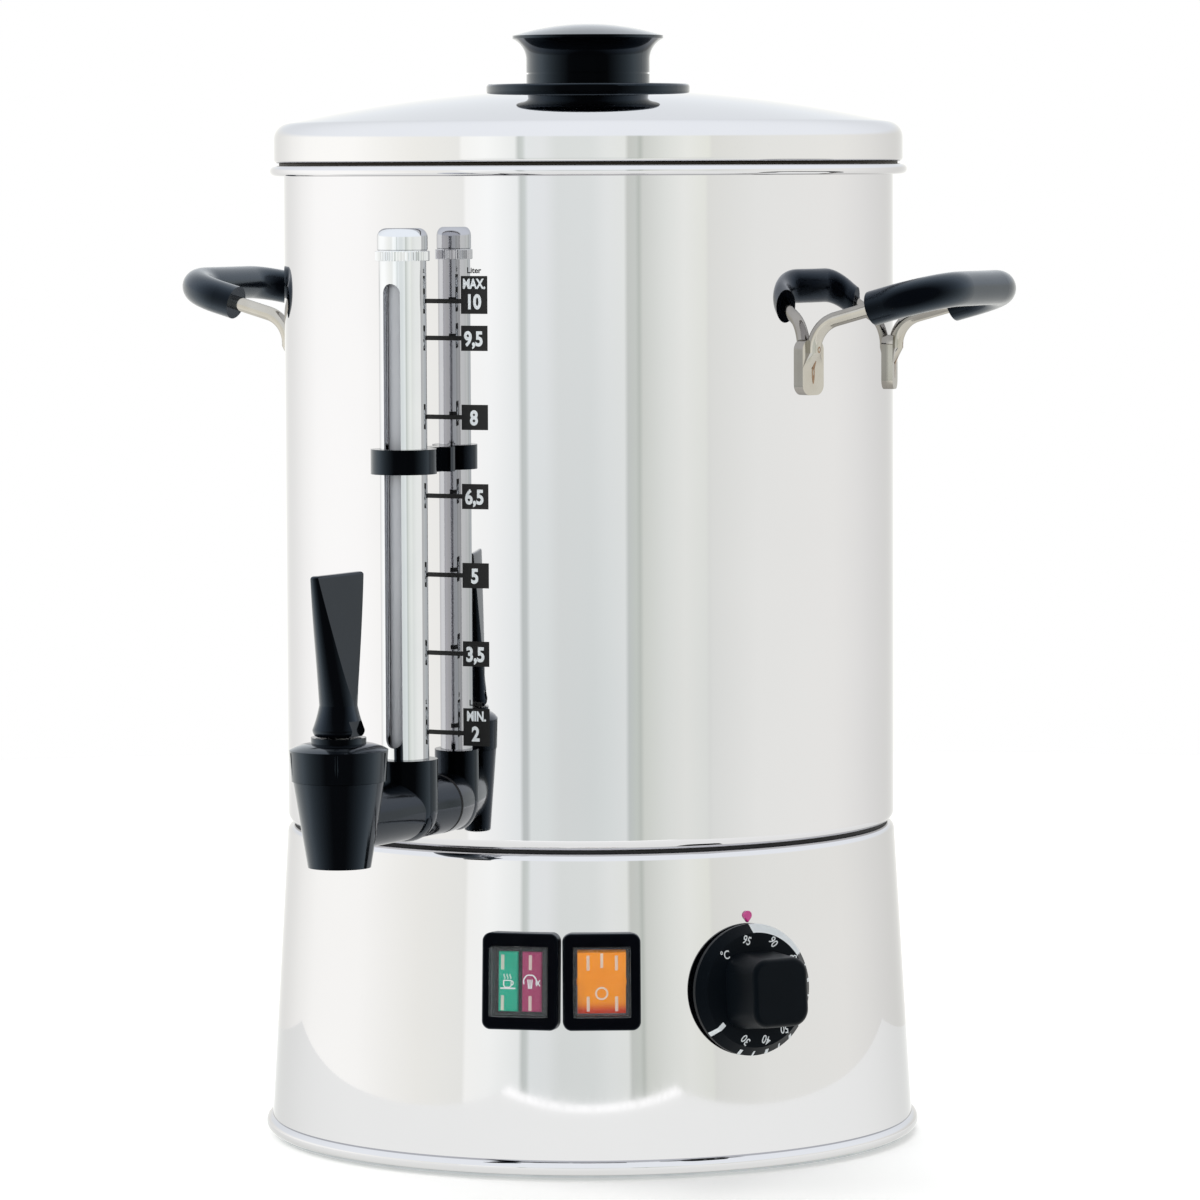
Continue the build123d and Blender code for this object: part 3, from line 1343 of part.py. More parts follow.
# Terminal block on the bottom plate, with a screw well over each way.
with BuildPart() as terminal_block:
    way_pitch = block_width / block_ways
    with BuildSketch(Plane.XY.offset(plate_floor)):
        with Locations((0, block_distance)):
            Rectangle(block_width, block_depth)
    extrude(amount=block_height)
    with BuildSketch(Plane.XY.offset(plate_floor + block_height)):
        with Locations((0, block_distance)):
            with GridLocations(way_pitch, block_depth / 2, block_ways, 2):
                Circle(block_well)
    extrude(amount=-block_height / 2, mode=Mode.SUBTRACT)
save(terminal_block.part, "terminal_block")
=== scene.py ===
"""Finishes, print, small trim, studio and camera of an electric hot water urn."""

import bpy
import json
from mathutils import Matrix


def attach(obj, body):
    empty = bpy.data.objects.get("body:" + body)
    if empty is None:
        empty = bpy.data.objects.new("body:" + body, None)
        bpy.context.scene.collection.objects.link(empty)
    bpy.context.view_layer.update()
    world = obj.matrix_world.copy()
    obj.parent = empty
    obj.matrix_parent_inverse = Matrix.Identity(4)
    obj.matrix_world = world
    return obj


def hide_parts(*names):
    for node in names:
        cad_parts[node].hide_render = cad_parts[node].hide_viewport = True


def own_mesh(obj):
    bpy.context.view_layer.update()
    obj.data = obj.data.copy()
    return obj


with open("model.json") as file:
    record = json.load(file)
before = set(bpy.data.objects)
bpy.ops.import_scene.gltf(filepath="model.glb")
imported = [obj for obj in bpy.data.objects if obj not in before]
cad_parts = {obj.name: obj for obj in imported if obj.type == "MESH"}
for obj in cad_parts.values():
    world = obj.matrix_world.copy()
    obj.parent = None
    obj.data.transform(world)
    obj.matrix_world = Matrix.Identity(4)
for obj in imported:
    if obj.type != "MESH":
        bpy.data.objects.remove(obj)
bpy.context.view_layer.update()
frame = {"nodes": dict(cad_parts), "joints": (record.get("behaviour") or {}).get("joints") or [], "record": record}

import json
import logging
from abc import ABC, abstractmethod
from dataclasses import dataclass, field
from enum import Enum
from math import asin, cos, degrees, hypot, pi, radians, sin, tan
from typing import ClassVar

import bmesh
import bpy
from mathutils import Matrix, Vector

LOG = logging.getLogger("urn")
MM = 0.001  # metres in a millimetre
WHITE = "#FFFFFF"
NOISE_SPAN = (0.6, 1.4)  # what the sum of two noises mostly covers

Tree = bpy.types.NodeTree
Socket = bpy.types.NodeSocket
Pair = tuple[float, float]
Line = list[Pair]  # points of an outline, in order


def linear(code: str) -> tuple[float, float, float, float]:
    """Turns an sRGB hex value into the linear colour that a shader takes.

    Args:
        code: Colour such as "#F2F0EA".

    Returns:
        Red, green, blue and an alpha of one.
    """
    parts = [int(code[i : i + 2], 16) / 255 for i in (1, 3, 5)]
    red, green, blue = (c / 12.92 if c <= 0.04045 else ((c + 0.055) / 1.055) ** 2.4 for c in parts)
    return red, green, blue, 1.0


def add_node(tree: Tree, kind: str, inputs: dict | None = None, **settings: object) -> bpy.types.Node:
    """Adds one node to a tree.

    Args:
        tree: Node tree of a material or a world.
        kind: Blender's name for the type of node.
        inputs: What each input gets: a value, or the output socket that feeds it.
        **settings: Attributes to set on the node.

    Returns:
        The new node.
    """
    node = tree.nodes.new(kind)
    for name, value in settings.items():
        setattr(node, name, value)
    for key, value in (inputs or {}).items():
        if isinstance(value, Socket):
            tree.links.new(value, node.inputs[key])
        else:
            node.inputs[key].default_value = value
    return node


def mixed(tree: Tree, share: Socket, first: object, second: object) -> Socket:
    """Adds a mix of two colours.

    Args:
        tree: Node tree of a material or a world.
        share: How much there is of the second colour.
        first: A colour, or the output socket that gives it.
        second: The other one.

    Returns:
        The mixed colour.
    """
    factor, one, other, result = 0, 6, 7, 2  # where the node has its sockets for colours
    inputs = {factor: share, one: first, other: second}
    return add_node(tree, "ShaderNodeMix", inputs, data_type="RGBA").outputs[result]


def mapped(tree: Tree, value: Socket, span: Pair, reach: Pair = (0.0, 1.0)) -> Socket:
    """Adds a map of one span of values onto another, held at both ends, and returns its result."""
    return add_node(tree, "ShaderNodeMapRange", dict(enumerate((value, *span, *reach)))).outputs[0]


def calculated(tree: Tree, operation: str, first: Socket, second: object) -> Socket:
    """Adds one step of arithmetic, and returns its result."""
    return add_node(tree, "ShaderNodeMath", {0: first, 1: second}, operation=operation).outputs[0]


def raised(tree: Tree, height: Socket, depth_mm: float, under: dict | None = None) -> Socket:
    """Adds relief of a depth, over the normal that it may lie on, and returns the new normal."""
    inputs = {"Height": height, "Distance": depth_mm * MM, "Strength": 1.0, **(under or {})}
    return add_node(tree, "ShaderNodeBump", inputs).outputs[0]


def add_object(name: str, data: bpy.types.ID) -> bpy.types.Object:
    """Makes an object and links it to the scene.

    Args:
        name: Its name.
        data: Its mesh, lettering, light or camera.

    Returns:
        The new object.
    """
    made = bpy.data.objects.new(name, data)
    bpy.context.scene.collection.objects.link(made)
    return made


# ---------------------------------------------------------------- finishes
@dataclass(frozen=True)
class Finish:
    """One real material: its colours, its gloss, and the texture that its making leaves.

    The colour drifts softly to a second one over patches, the gloss drifts with it, and a finer
    grain gives the relief. Sizes are real millimetres on the part.
    """

    name: str
    colour: str
    drift: str
    roughness: tuple[float, float] = (0.3, 0.4)
    metallic: float = 0.0
    ior: float = 1.5
    specular: float = 0.5
    patch_mm: float = 30.0
    grain_mm: float = 0.8
    grain_stretch: tuple[float, float, float] = (1.0, 1.0, 1.0)
    relief_mm: float = 0.01
    coat: float = 0.0
    glow: float = 0.0
    grazing: str = WHITE  # tint of what a metal shows near its outline

    def build(self) -> bpy.types.Material:
        """Makes the material with its nodes.

        Returns:
            The new material.
        """
        material = bpy.data.materials.new(self.name)
        material.use_nodes = True
        tree = material.node_tree
        shader = tree.nodes["Principled BSDF"]
        shader.inputs["Metallic"].default_value = self.metallic
        if self.metallic < 1:
            shader.inputs["IOR"].default_value = self.ior
            shader.inputs["Specular IOR Level"].default_value = self.specular
        shader.inputs["Specular Tint"].default_value = linear(self.grazing)
        shader.inputs["Coat Weight"].default_value = self.coat
        shader.inputs["Emission Strength"].default_value = self.glow
        place = add_node(tree, "ShaderNodeTexCoord").outputs["Object"]
        patches = self.noise(tree, place, self.patch_mm, detail=2.0)
        stretch = {"Vector": place, "Scale": self.grain_stretch}
        stretched = add_node(tree, "ShaderNodeMapping", stretch).outputs[0]
        grain = self.noise(tree, stretched, self.grain_mm, detail=3.0)
        colour = mixed(tree, patches, linear(self.colour), linear(self.drift))
        gloss = mapped(tree, calculated(tree, "ADD", patches, grain), NOISE_SPAN, self.roughness)
        relief = raised(tree, grain, self.relief_mm)
        colour, relief = self.extra(tree, place, colour, relief)
        for socket, source in (("Base Color", colour), ("Roughness", gloss), ("Normal", relief)):
            tree.links.new(source, shader.inputs[socket])
        if self.glow:
            tree.links.new(colour, shader.inputs["Emission Color"])
        return material

    @staticmethod
    def noise(tree: Tree, place: Socket, size_mm: float, detail: float) -> Socket:
        """Adds noise whose features are about a size across, and returns its value."""
        inputs = {"Vector": place, "Scale": 1 / (size_mm * MM), "Detail": detail}
        return add_node(tree, "ShaderNodeTexNoise", inputs).outputs[0]

    def extra(self, tree: Tree, place: Socket, colour: Socket, relief: Socket) -> tuple[Socket, Socket]:
        """Lets a kind of finish add to the colour and the relief, and returns both."""
        return colour, relief


@dataclass(frozen=True)
class PolishedSheet(Finish):
    """Mirror-polished steel sheet, which is never quite flat: its reflections waver a little."""

    wave_mm: float = 45.0
    wave_height_mm: float = 0.02
    grazing: str = "#E0E0E0"

    def extra(self, tree: Tree, place: Socket, colour: Socket, relief: Socket) -> tuple[Socket, Socket]:
        """Adds the slow waves of rolled and formed sheet under the polish, and returns both."""
        waves = self.noise(tree, place, self.wave_mm, detail=1.0)
        return colour, raised(tree, waves, self.wave_height_mm, {"Normal": relief})


@dataclass(frozen=True)
class GlossMoulding(Finish):
    """Black plastic from a polished mould: nearly no mirror image face on, and a cool gloss at its edges."""

    face: str = "#1C2024"
    rim: str = "#B4D2F0"
    rim_from: float = 0.05
    rim_full: float = 0.34
    blend: float = 0.5

    def build(self) -> bpy.types.Material:
        """Makes the material, and lets its gloss rise towards the edges.

        Returns:
            The new material.
        """
        material = super().build()
        tree = material.node_tree
        edge = add_node(tree, "ShaderNodeLayerWeight", {"Blend": self.blend}).outputs["Facing"]
        share = mapped(tree, edge, (self.rim_from, self.rim_full))
        tint = mixed(tree, share, linear(self.face), linear(self.rim))
        tree.links.new(tint, tree.nodes["Principled BSDF"].inputs["Specular Tint"])
        return material


@dataclass(frozen=True)
class LitMoulding(Finish):
    """Coloured clear plastic with a lamp behind it, whose colour deepens at its lower edge."""

    foot: str = "#C8350C"
    foot_from: float = 0.0
    foot_to: float = 1.0

    def extra(self, tree: Tree, place: Socket, colour: Socket, relief: Socket) -> tuple[Socket, Socket]:
        """Mixes in the deeper colour below a height.

        Args:
            tree: Node tree of the material.
            place: Position on the part.
            colour: Colour so far.
            relief: Normal so far.

        Returns:
            The new colour, and the normal as it was.
        """
        height = add_node(tree, "ShaderNodeSeparateXYZ", {0: place}).outputs["Z"]
        share = mapped(tree, height, (self.foot_from * MM, self.foot_to * MM))
        return mixed(tree, share, linear(self.foot), colour), relief


@dataclass(frozen=True)
class ClearPlastic(Finish):
    """Clear plastic or glass: the eye goes through its face and sees its edges as paler lines."""

    face_alpha: float = 0.2
    edge_alpha: float = 0.8
    blend: float = 0.35

    def build(self) -> bpy.types.Material:
        """Makes the material, and lets it be seen through by how squarely it is looked at.

        Returns:
            The new material.
        """
        material = super().build()
        tree = material.node_tree
        edge = add_node(tree, "ShaderNodeLayerWeight", {"Blend": self.blend}).outputs["Facing"]
        alpha = mapped(tree, edge, (0.0, 1.0), (self.face_alpha, self.edge_alpha))
        tree.links.new(alpha, tree.nodes["Principled BSDF"].inputs["Alpha"])
        return material


class Stock(Enum):
    """Every finish on the urn, by what it is made of and how. One for a record slot has the slot's name."""

    # 18/10 stainless sheet, ground and buffed to a mirror: shows the studio almost unbroken
    VESSEL_STEEL = PolishedSheet(
        "buffed_stainless_sheet", "#D1D0D3", "#CECDD0", (0.015, 0.035), 1.0, patch_mm=60, grain_mm=1.2,
        grain_stretch=(1, 1, 0.1), relief_mm=0.0002,
    )
    # the base's sheet has a plainer polish, so it comes out a little greyer
    BASE_STEEL = PolishedSheet(
        "polished_stainless_sheet", "#CECDCF", "#CAC9CB", (0.02, 0.045), 1.0, patch_mm=60, grain_mm=1.2,
        grain_stretch=(1, 1, 0.1), relief_mm=0.0003,
    )
    # inside of the pot, only brushed: a soft grey that takes the light instead of mirroring it
    INSIDE_STEEL = Finish(
        "brushed_inner_wall", "#D6D6D3", "#CACAC7", (0.38, 0.5), 0.35, patch_mm=40, grain_mm=1.0,
        grain_stretch=(1, 1, 0.1), relief_mm=0.002,
    )
    # inside of the rolled edge, in the gap under the lid: dull, with the gap's shade painted into its dark colour
    DULL_EDGE = Finish(
        "painted_shade_rolled_edge", "#2E2A26", "#3A3632", (0.5, 0.65), 1.0, patch_mm=6, grain_mm=0.6
    )
    # the vessel's sheet, spun over a form: its mirror image wavers in longer, lower waves
    LID_STEEL = PolishedSheet(
        "spun_stainless_sheet", "#D2D1D2", "#CECDCF", (0.015, 0.04), 1.0, patch_mm=50, grain_mm=1.0,
        relief_mm=0.0002, wave_mm=60, wave_height_mm=0.015,
    )
    # bright chromium plate over brass tube: harder and bluer than the steel
    CHROME_PLATE = Finish(
        "bright_chromium_plate", "#D4D5D8", "#CDCFD3", (0.02, 0.05), 1.0, patch_mm=12, grain_mm=0.5,
        relief_mm=0.0006, grazing="#E0E0E0",
    )
    # bent and tumbled stainless rod: a soft shine, in patches warmer from the welding heat
    HANDLE_STEEL = Finish(
        "tumbled_stainless_rod", "#BAB7B1", "#A8A298", (0.07, 0.14), 1.0, patch_mm=9, grain_mm=0.5,
        relief_mm=0.003, grazing="#D0D0D0",
    )
    # heat mark of a spot weld, straw to brown
    WELD_MARK = Finish(
        "spot_weld_tint", "#7A5F4C", "#A08872", (0.25, 0.45), 1.0, patch_mm=1.5, grain_mm=0.4, relief_mm=0.01
    )
    # cold-rolled sheet with a thin zinc coat: dull grey, clouded in soft patches
    SHEET_STEEL = Finish("zinc_coated_sheet", "#B9BCBE", "#A3A7AA", (0.35, 0.5), 1.0, patch_mm=14, grain_mm=2)
    # turned steel, plated with zinc: a thin satin coat that yellows a little in places
    ZINC_STEEL = Finish("zinc_plated_steel", "#C9CACC", "#B7B5AC", (0.25, 0.4), 1.0, patch_mm=6, grain_mm=0.6)
    # cold-drawn wire and turned pins: a soft shine along the drawing lines
    STAINLESS_ROD = Finish(
        "drawn_stainless_wire", "#D5D5D4", "#C8C8C6", (0.15, 0.28), 1.0, patch_mm=5, grain_mm=0.3
    )
    # rolled plate, left as it came: pale, with a dull even shine
    ALUMINIUM_PLATE = Finish(
        "rolled_aluminium", "#DADCDF", "#CDD0D4", (0.3, 0.45), 1.0, patch_mm=20, grain_mm=1.5
    )
    # heater sheath that has been red hot: its oxide skin is brown and nearly matt
    ELEMENT_SHEATH = Finish(
        "heat_tinted_sheath", "#7D7770", "#5F574F", (0.4, 0.6), 1.0, patch_mm=8, grain_mm=0.6
    )
    # thin drawn tube, bent by hand: a soft shine that has begun to darken
    COPPER_TUBE = Finish(
        "drawn_copper_tube", "#C98A68", "#B4724F", (0.25, 0.4), 1.0, patch_mm=8, grain_mm=0.5
    )
    # gloss ABS from a polished mould: deep black with sharp highlights
    BLACK_PLASTIC = GlossMoulding(
        "gloss_black_abs", "#040507", "#06070A", (0.08, 0.15), ior=1.53, patch_mm=18, grain_mm=0.9,
        relief_mm=0.002,
    )
    # phenolic pressed in a satin mould, for the grips: softer gloss with a bluish sheen
    GRIP_PLASTIC = GlossMoulding(
        "satin_black_phenolic", "#04060A", "#070A10", (0.16, 0.26), ior=1.58, patch_mm=20, grain_mm=0.8,
        relief_mm=0.003, rim_from=0.08, rim_full=0.4,
    )
    # moulded glass-filled nylon, for the frames: satin, with a fine grain
    FRAME_PLASTIC = GlossMoulding(
        "satin_black_nylon", "#04050A", "#07080C", (0.3, 0.42), ior=1.53, patch_mm=10, grain_mm=0.35,
        relief_mm=0.006, rim_from=0.1, rim_full=0.5,
    )
    # dial moulding, spark-eroded mould: matt with a fine grain
    DIAL_PLASTIC = GlossMoulding(
        "spark_grained_abs", "#090D11", "#0C1116", (0.38, 0.5), ior=1.53, patch_mm=15, grain_mm=0.4,
        relief_mm=0.008, rim="#161B20", rim_from=0.3, rim_full=0.9,
    )
    # glass-filled nylon out of a plain mould: dull, because nobody sees it
    HOUSING_NYLON = Finish(
        "black_nylon_housing", "#08090B", "#0D0E10", (0.45, 0.6), specular=0.3, grain_mm=0.5
    )
    # moulded nylon, off-white and satin
    WHITE_NYLON = Finish("white_nylon", "#E4E1D6", "#DAD6C8", (0.4, 0.55), patch_mm=12, grain_mm=0.7)
    # pressed phenolic block: dull, with a mottle of its filler
    BROWN_PHENOLIC = Finish("brown_phenolic", "#3A241A", "#2B1A12", (0.4, 0.55), patch_mm=6, grain_mm=0.5)
    # moulded nitrile: matt, dusty in the pores
    BLACK_RUBBER = Finish(
        "moulded_rubber", "#121214", "#1A1A1B", (0.6, 0.75), specular=0.3, patch_mm=8, grain_mm=0.5,
        relief_mm=0.02,
    )
    # moulded silicone: milky, with a soft sheen from the mould
    SILICONE = Finish("milky_silicone", "#DAD7CD", "#CFCBC0", (0.35, 0.5), ior=1.41, patch_mm=8, grain_mm=0.8)
    # drawn borosilicate tube with a grey water shadow inside
    CLEAR_GLASS = ClearPlastic(
        "borosilicate_tube", "#C3C6CC", "#D2D5DA", (0.02, 0.06), ior=1.47, patch_mm=25, grain_mm=2,
        grain_stretch=(1, 1, 0.05), relief_mm=0.001, face_alpha=0.7, edge_alpha=0.95,
    )
    # soft clear PVC splash cover: edges and ribs catch the light
    CLEAR_COVER = ClearPlastic(
        "clear_soft_pvc", "#DDE3E6", "#CBD3D8", (0.08, 0.16), ior=1.53, patch_mm=10, grain_mm=1.5,
        relief_mm=0.004, face_alpha=0.03, edge_alpha=0.2,
    )
    # ribs of the same cover, where the plastic is thicker: paler and less clear
    COVER_RIB = ClearPlastic(
        "clear_pvc_rib", "#EFE6DC", "#E4DAD0", (0.2, 0.35), ior=1.53, patch_mm=3, grain_mm=0.6,
        face_alpha=0.5, edge_alpha=0.9,
    )
    # moulded coloured cap with a neon lamp behind: an even colour that glows faintly
    GREEN_LENS = Finish(
        "green_polycarbonate", "#149C7E", "#22A88C", (0.2, 0.3), ior=1.58, specular=0.12, patch_mm=7,
        grain_mm=0.7, glow=0.1,
    )
    # the same moulding in red, a little dimmer
    RED_LENS = Finish(
        "red_polycarbonate", "#93305A", "#A23E68", (0.2, 0.3), ior=1.58, specular=0.12, patch_mm=7,
        grain_mm=0.7, glow=0.08,
    )
    # lit from behind: bright where the lamp sits, red where the light has come through the thick foot
    ORANGE_ROCKER = LitMoulding(
        "orange_polycarbonate", "#E58408", "#EE9414", (0.2, 0.32), ior=1.58, specular=0.12, patch_mm=8,
        grain_mm=0.7, glow=0.2, foot="#C8350C", foot_from=67.0, foot_to=70.5,
    )
    # polished acrylic drop, glued on: glossy and a little see-through at its rim
    MARKER_PLASTIC = Finish(
        "magenta_acrylic", "#B5187A", "#D62C93", (0.06, 0.12), ior=1.49, patch_mm=2, grain_mm=0.6, coat=0.5
    )
    # screen ink on steel and pad print on plastic: flat, a little uneven at the edges of the screen
    BLACK_INK = Finish(
        "black_screen_ink", "#070707", "#101011", (0.35, 0.5), specular=0.3, patch_mm=4, grain_mm=0.4
    )
    WHITE_INK = Finish("white_pad_print", "#E9EEF0", "#D9E0E4", (0.4, 0.55), patch_mm=3, grain_mm=0.4)
    PALE_INK = Finish("pale_pad_print", "#F3DCC8", "#EDD0B8", (0.4, 0.55), patch_mm=3, grain_mm=0.4)
    # painted studio floor: matt and nearly white
    FLOOR = Finish("white_studio_floor", "#F4F4F2", "#F1F1EF", (0.6, 0.7), patch_mm=400, grain_mm=3)

    @property
    def material(self) -> bpy.types.Material:
        """The material of this finish, made once."""
        return bpy.data.materials.get(self.value.name) or self.value.build()


def add_piece(
    name: str, drawing: bmesh.types.BMesh, stocks: list[Stock], body: str, slot: str
) -> bpy.types.Object:
    """Turns a drawing into a piece of the urn, dresses it and sets it on its body.

    Args:
        name: Name of the piece.
        drawing: Its shape, which is used up.
        stocks: Its finishes.
        body: Body that it rides on.
        slot: Record slot of the piece; not used.

    Returns:
        The new piece.
    """
    data = bpy.data.meshes.new(name)
    drawing.to_mesh(data)
    drawing.free()
    for stock in stocks:
        data.materials.append(stock.material)
    piece = add_object(name, data)
    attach(piece, body)
    LOG.info("%s: %d faces on body %s", name, len(data.polygons), body)
    return piece


# ---------------------------------------------------------------- places that trim lies on
def outward(azimuth: float, lean: float = 0.0) -> Vector:
    """Direction that faces outward at an azimuth from the tap, leaning up by an angle, in degrees."""
    turn, tilt = radians(azimuth), radians(lean)
    return Vector((sin(turn) * cos(tilt), -cos(turn) * cos(tilt), sin(tilt)))


class Place(ABC):
    """A face of the urn, with its own millimetres: x to the right, y up, and a lift off the face."""

    @abstractmethod
    def point(self, x: float, y: float, lift: float) -> Vector:
        """Point of the row frame, in metres, for a point of the face."""


@dataclass(frozen=True)
class FlatPlace(Place):
    """A flat face.

    Attributes:
        origin: Its middle, in metres.
        right: Its x direction.
        out: Direction that it faces.
    """

    origin: Vector
    right: Vector
    out: Vector

    def point(self, x: float, y: float, lift: float) -> Vector:
        """Point of the face in the row frame."""
        up = self.out.cross(self.right)
        return self.origin + (self.right * x + up * y + self.out * lift) * MM

    def moved(self, x: float) -> "FlatPlace":
        """The same face, with its middle further to the right by some millimetres."""
        return FlatPlace(self.origin + self.right * x * MM, self.right, self.out)


@dataclass(frozen=True)
class RoundPlace(Place):
    """The vessel's upright round wall. Its x runs along the arc.

    Attributes:
        radius: Radius of the wall, in millimetres.
        azimuth: Azimuth of its middle, in degrees.
        height: Height of its middle, in millimetres.
    """

    radius: float
    azimuth: float
    height: float

    def point(self, x: float, y: float, lift: float) -> Vector:
        """Point of the wall in the row frame."""
        side = outward(self.azimuth + degrees(x / self.radius))
        return (side * (self.radius + lift) + Vector((0, 0, self.height + y))) * MM


@dataclass(frozen=True)
class DrapedPlace(Place):
    """Whatever surface of one node lies behind a flat face.

    Attributes:
        flat: The flat face, in front of the node.
        node: Name of the node.
    """

    flat: FlatPlace
    node: str
    reach: float = 20.0  # how far in front of the flat face the search starts

    def point(self, x: float, y: float, lift: float) -> Vector:
        """Finds the node's surface behind a point of the flat face.

        Args:
            x: How far to the right, in millimetres.
            y: How far up.
            lift: Height above the surface.

        Returns:
            Point in the row frame, in metres.
        """
        start = self.flat.point(x, y, self.reach)
        solid = frame["nodes"][self.node]
        inward = solid.matrix_world.inverted()
        hit, place, _, _ = solid.ray_cast(inward @ start, -(inward.to_3x3() @ self.flat.out))
        if not hit:
            return self.flat.point(x, y, lift)
        return solid.matrix_world @ place + self.flat.out * lift * MM


@dataclass(frozen=True)
class BaseWall:
    """The base's conical wall, which carries the switches and the dial."""

    top_radius: float = 125.1
    top_height: float = 128.2
    slope: float = 3.45

    def place(self, azimuth: float, height: float, proud: float) -> FlatPlace:
        """Gives a flat face square to the wall.

        Args:
            azimuth: Where it is, in degrees from the tap.
            height: Its height, in millimetres.
            proud: How far it stands off the wall.

        Returns:
            The face.
        """
        radius = self.top_radius + (self.top_height - height) * tan(radians(self.slope))
        out = outward(azimuth, self.slope)
        right = outward(azimuth + 90)
        middle = outward(azimuth) * radius + Vector((0, 0, height))
        return FlatPlace((middle + out * proud) * MM, right, out)


# ---------------------------------------------------------------- trim
@dataclass
class Trim:
    """A mesh that is drawn on a place from flat shapes, and then becomes one piece of the urn.

    Attributes:
        name: Name of the piece.
        stock: What it is made of.
        body: Body that it rides on.
        slot: Record slot of the piece, handed on when it is finished.
        mesh: What has been drawn so far.
    """

    name: str
    stock: Stock
    body: str
    slot: str
    mesh: bmesh.types.BMesh = field(default_factory=bmesh.new)
    figure_share: ClassVar[float] = 0.73  # height of a figure in the font's size of one
    curve_steps: ClassVar[int] = 5  # parts of each curve of a letter
    bevel_share: ClassVar[float] = 1 / 3  # of a bar's width or rise, whichever is less

    def patch(self, place: Place, low: Pair, high: Pair, lift: float, steps: int = 1) -> None:
        """Adds a rectangle.

        Args:
            place: Face that it lies on.
            low: Its left and lower ends, in millimetres.
            high: Its right and upper ends.
            lift: Height above the face.
            steps: Parts along x, so that it can follow a round wall.
        """
        columns = [low[0] + (high[0] - low[0]) * i / steps for i in range(steps + 1)]
        lower = [self.mesh.verts.new(place.point(x, low[1], lift)) for x in columns]
        upper = [self.mesh.verts.new(place.point(x, high[1], lift)) for x in columns]
        for i in range(steps):
            self.mesh.faces.new((lower[i], lower[i + 1], upper[i + 1], upper[i]))

    def band(
        self, place: Place, inner: Line, outer: Line, lift: float, inner_lift: float | None = None
    ) -> None:
        """Adds a strip between two rows of points.

        Args:
            place: Face that it lies on.
            inner: Points of one side, in millimetres.
            outer: As many points of the other side.
            lift: Height of the outer side above the face.
            inner_lift: Height of the inner side where it differs.
        """
        inside = lift if inner_lift is None else inner_lift
        first = [self.mesh.verts.new(place.point(x, y, inside)) for x, y in inner]
        second = [self.mesh.verts.new(place.point(x, y, lift)) for x, y in outer]
        for i in range(len(inner) - 1):
            self.mesh.faces.new((first[i], second[i], second[i + 1], first[i + 1]))

    def stroke(self, place: Place, points: Line, width: float, lift: float) -> None:
        """Adds a line of one width.

        Args:
            place: Face that it lies on.
            points: Points that it goes through, in millimetres.
            width: Its width.
            lift: Height above the face.
        """
        left, right = [], []
        for i, (x, y) in enumerate(points):
            before = points[max(i - 1, 0)]
            after = points[min(i + 1, len(points) - 1)]
            run = (after[0] - before[0], after[1] - before[1])
            length = hypot(*run) or 1.0
            side = (-run[1] / length * width / 2, run[0] / length * width / 2)
            left.append((x + side[0], y + side[1]))
            right.append((x - side[0], y - side[1]))
        self.band(place, left, right, lift)

    def letters(self, place: Place, text: str, at: Pair, height: float, lift: float, **style: float) -> None:
        """Adds upright or turned figures.

        Args:
            place: Face that they lie on.
            text: What they say.
            at: Their middle, in millimetres.
            height: Height of a figure.
            lift: Height above the face.
            **style: "narrow" scales the width, "bold" thickens the strokes in millimetres, and "turn"
                turns the text clockwise in degrees.
        """
        curve = bpy.data.curves.new("letters", "FONT")
        curve.body = text
        curve.size = height / self.figure_share
        curve.align_x = "CENTER"
        curve.offset = style.get("bold", 0.0)
        curve.resolution_u = self.curve_steps
        drawn = add_object("letters", curve)
        flat = bpy.data.meshes.new_from_object(drawn.evaluated_get(bpy.context.evaluated_depsgraph_get()))
        turn = radians(style.get("turn", 0.0))
        verts = []
        for vertex in flat.vertices:
            x = vertex.co.x * style.get("narrow", 1.0)
            y = vertex.co.y - height / 2
            turned = (x * cos(turn) + y * sin(turn), y * cos(turn) - x * sin(turn))
            verts.append(self.mesh.verts.new(place.point(at[0] + turned[0], at[1] + turned[1], lift)))
        for polygon in flat.polygons:
            self.mesh.faces.new([verts[i] for i in polygon.vertices])
        bpy.data.objects.remove(drawn)
        bpy.data.curves.remove(curve)
        bpy.data.meshes.remove(flat)

    def bar(self, place: Place, at: Pair, size: Pair, lift: float, rise: float) -> None:
        """Adds a raised bar with bevelled edges.

        Args:
            place: Face that it stands on.
            at: Its middle, in millimetres.
            size: Its width and its length.
            lift: Height of its foot above the face.
            rise: How far it stands up.
        """
        rows = []
        bevel = min(size[0], rise) * self.bevel_share
        for level, inset in ((0, 0), (rise - bevel, 0), (rise, bevel)):
            wide, long = size[0] / 2 - inset, size[1] / 2 - inset
            around = ((-wide, -long), (wide, -long), (wide, long), (-wide, long))
            corners = [place.point(at[0] + x, at[1] + y, lift + level) for x, y in around]
            rows.append([self.mesh.verts.new(corner) for corner in corners])
        for low, high in zip(rows, rows[1:]):
            for i in range(4):
                self.mesh.faces.new((low[i], low[(i + 1) % 4], high[(i + 1) % 4], high[i]))
        self.mesh.faces.new(rows[-1])
        self.mesh.faces.new(rows[0][::-1])

    def finish(self, thickness: float = 0.0) -> bpy.types.Object:
        """Turns the drawing into an object, dresses it and sets it on its body.

        Args:
            thickness: Thickness that flat shapes get, towards the face, in millimetres.

        Returns:
            The new piece.
        """
        piece = add_piece(self.name, self.mesh, [self.stock], self.body, self.slot)
        if thickness:
            solid = piece.modifiers.new("thickness", "SOLIDIFY")
            solid.thickness = thickness * MM
            solid.offset = -1
        return piece


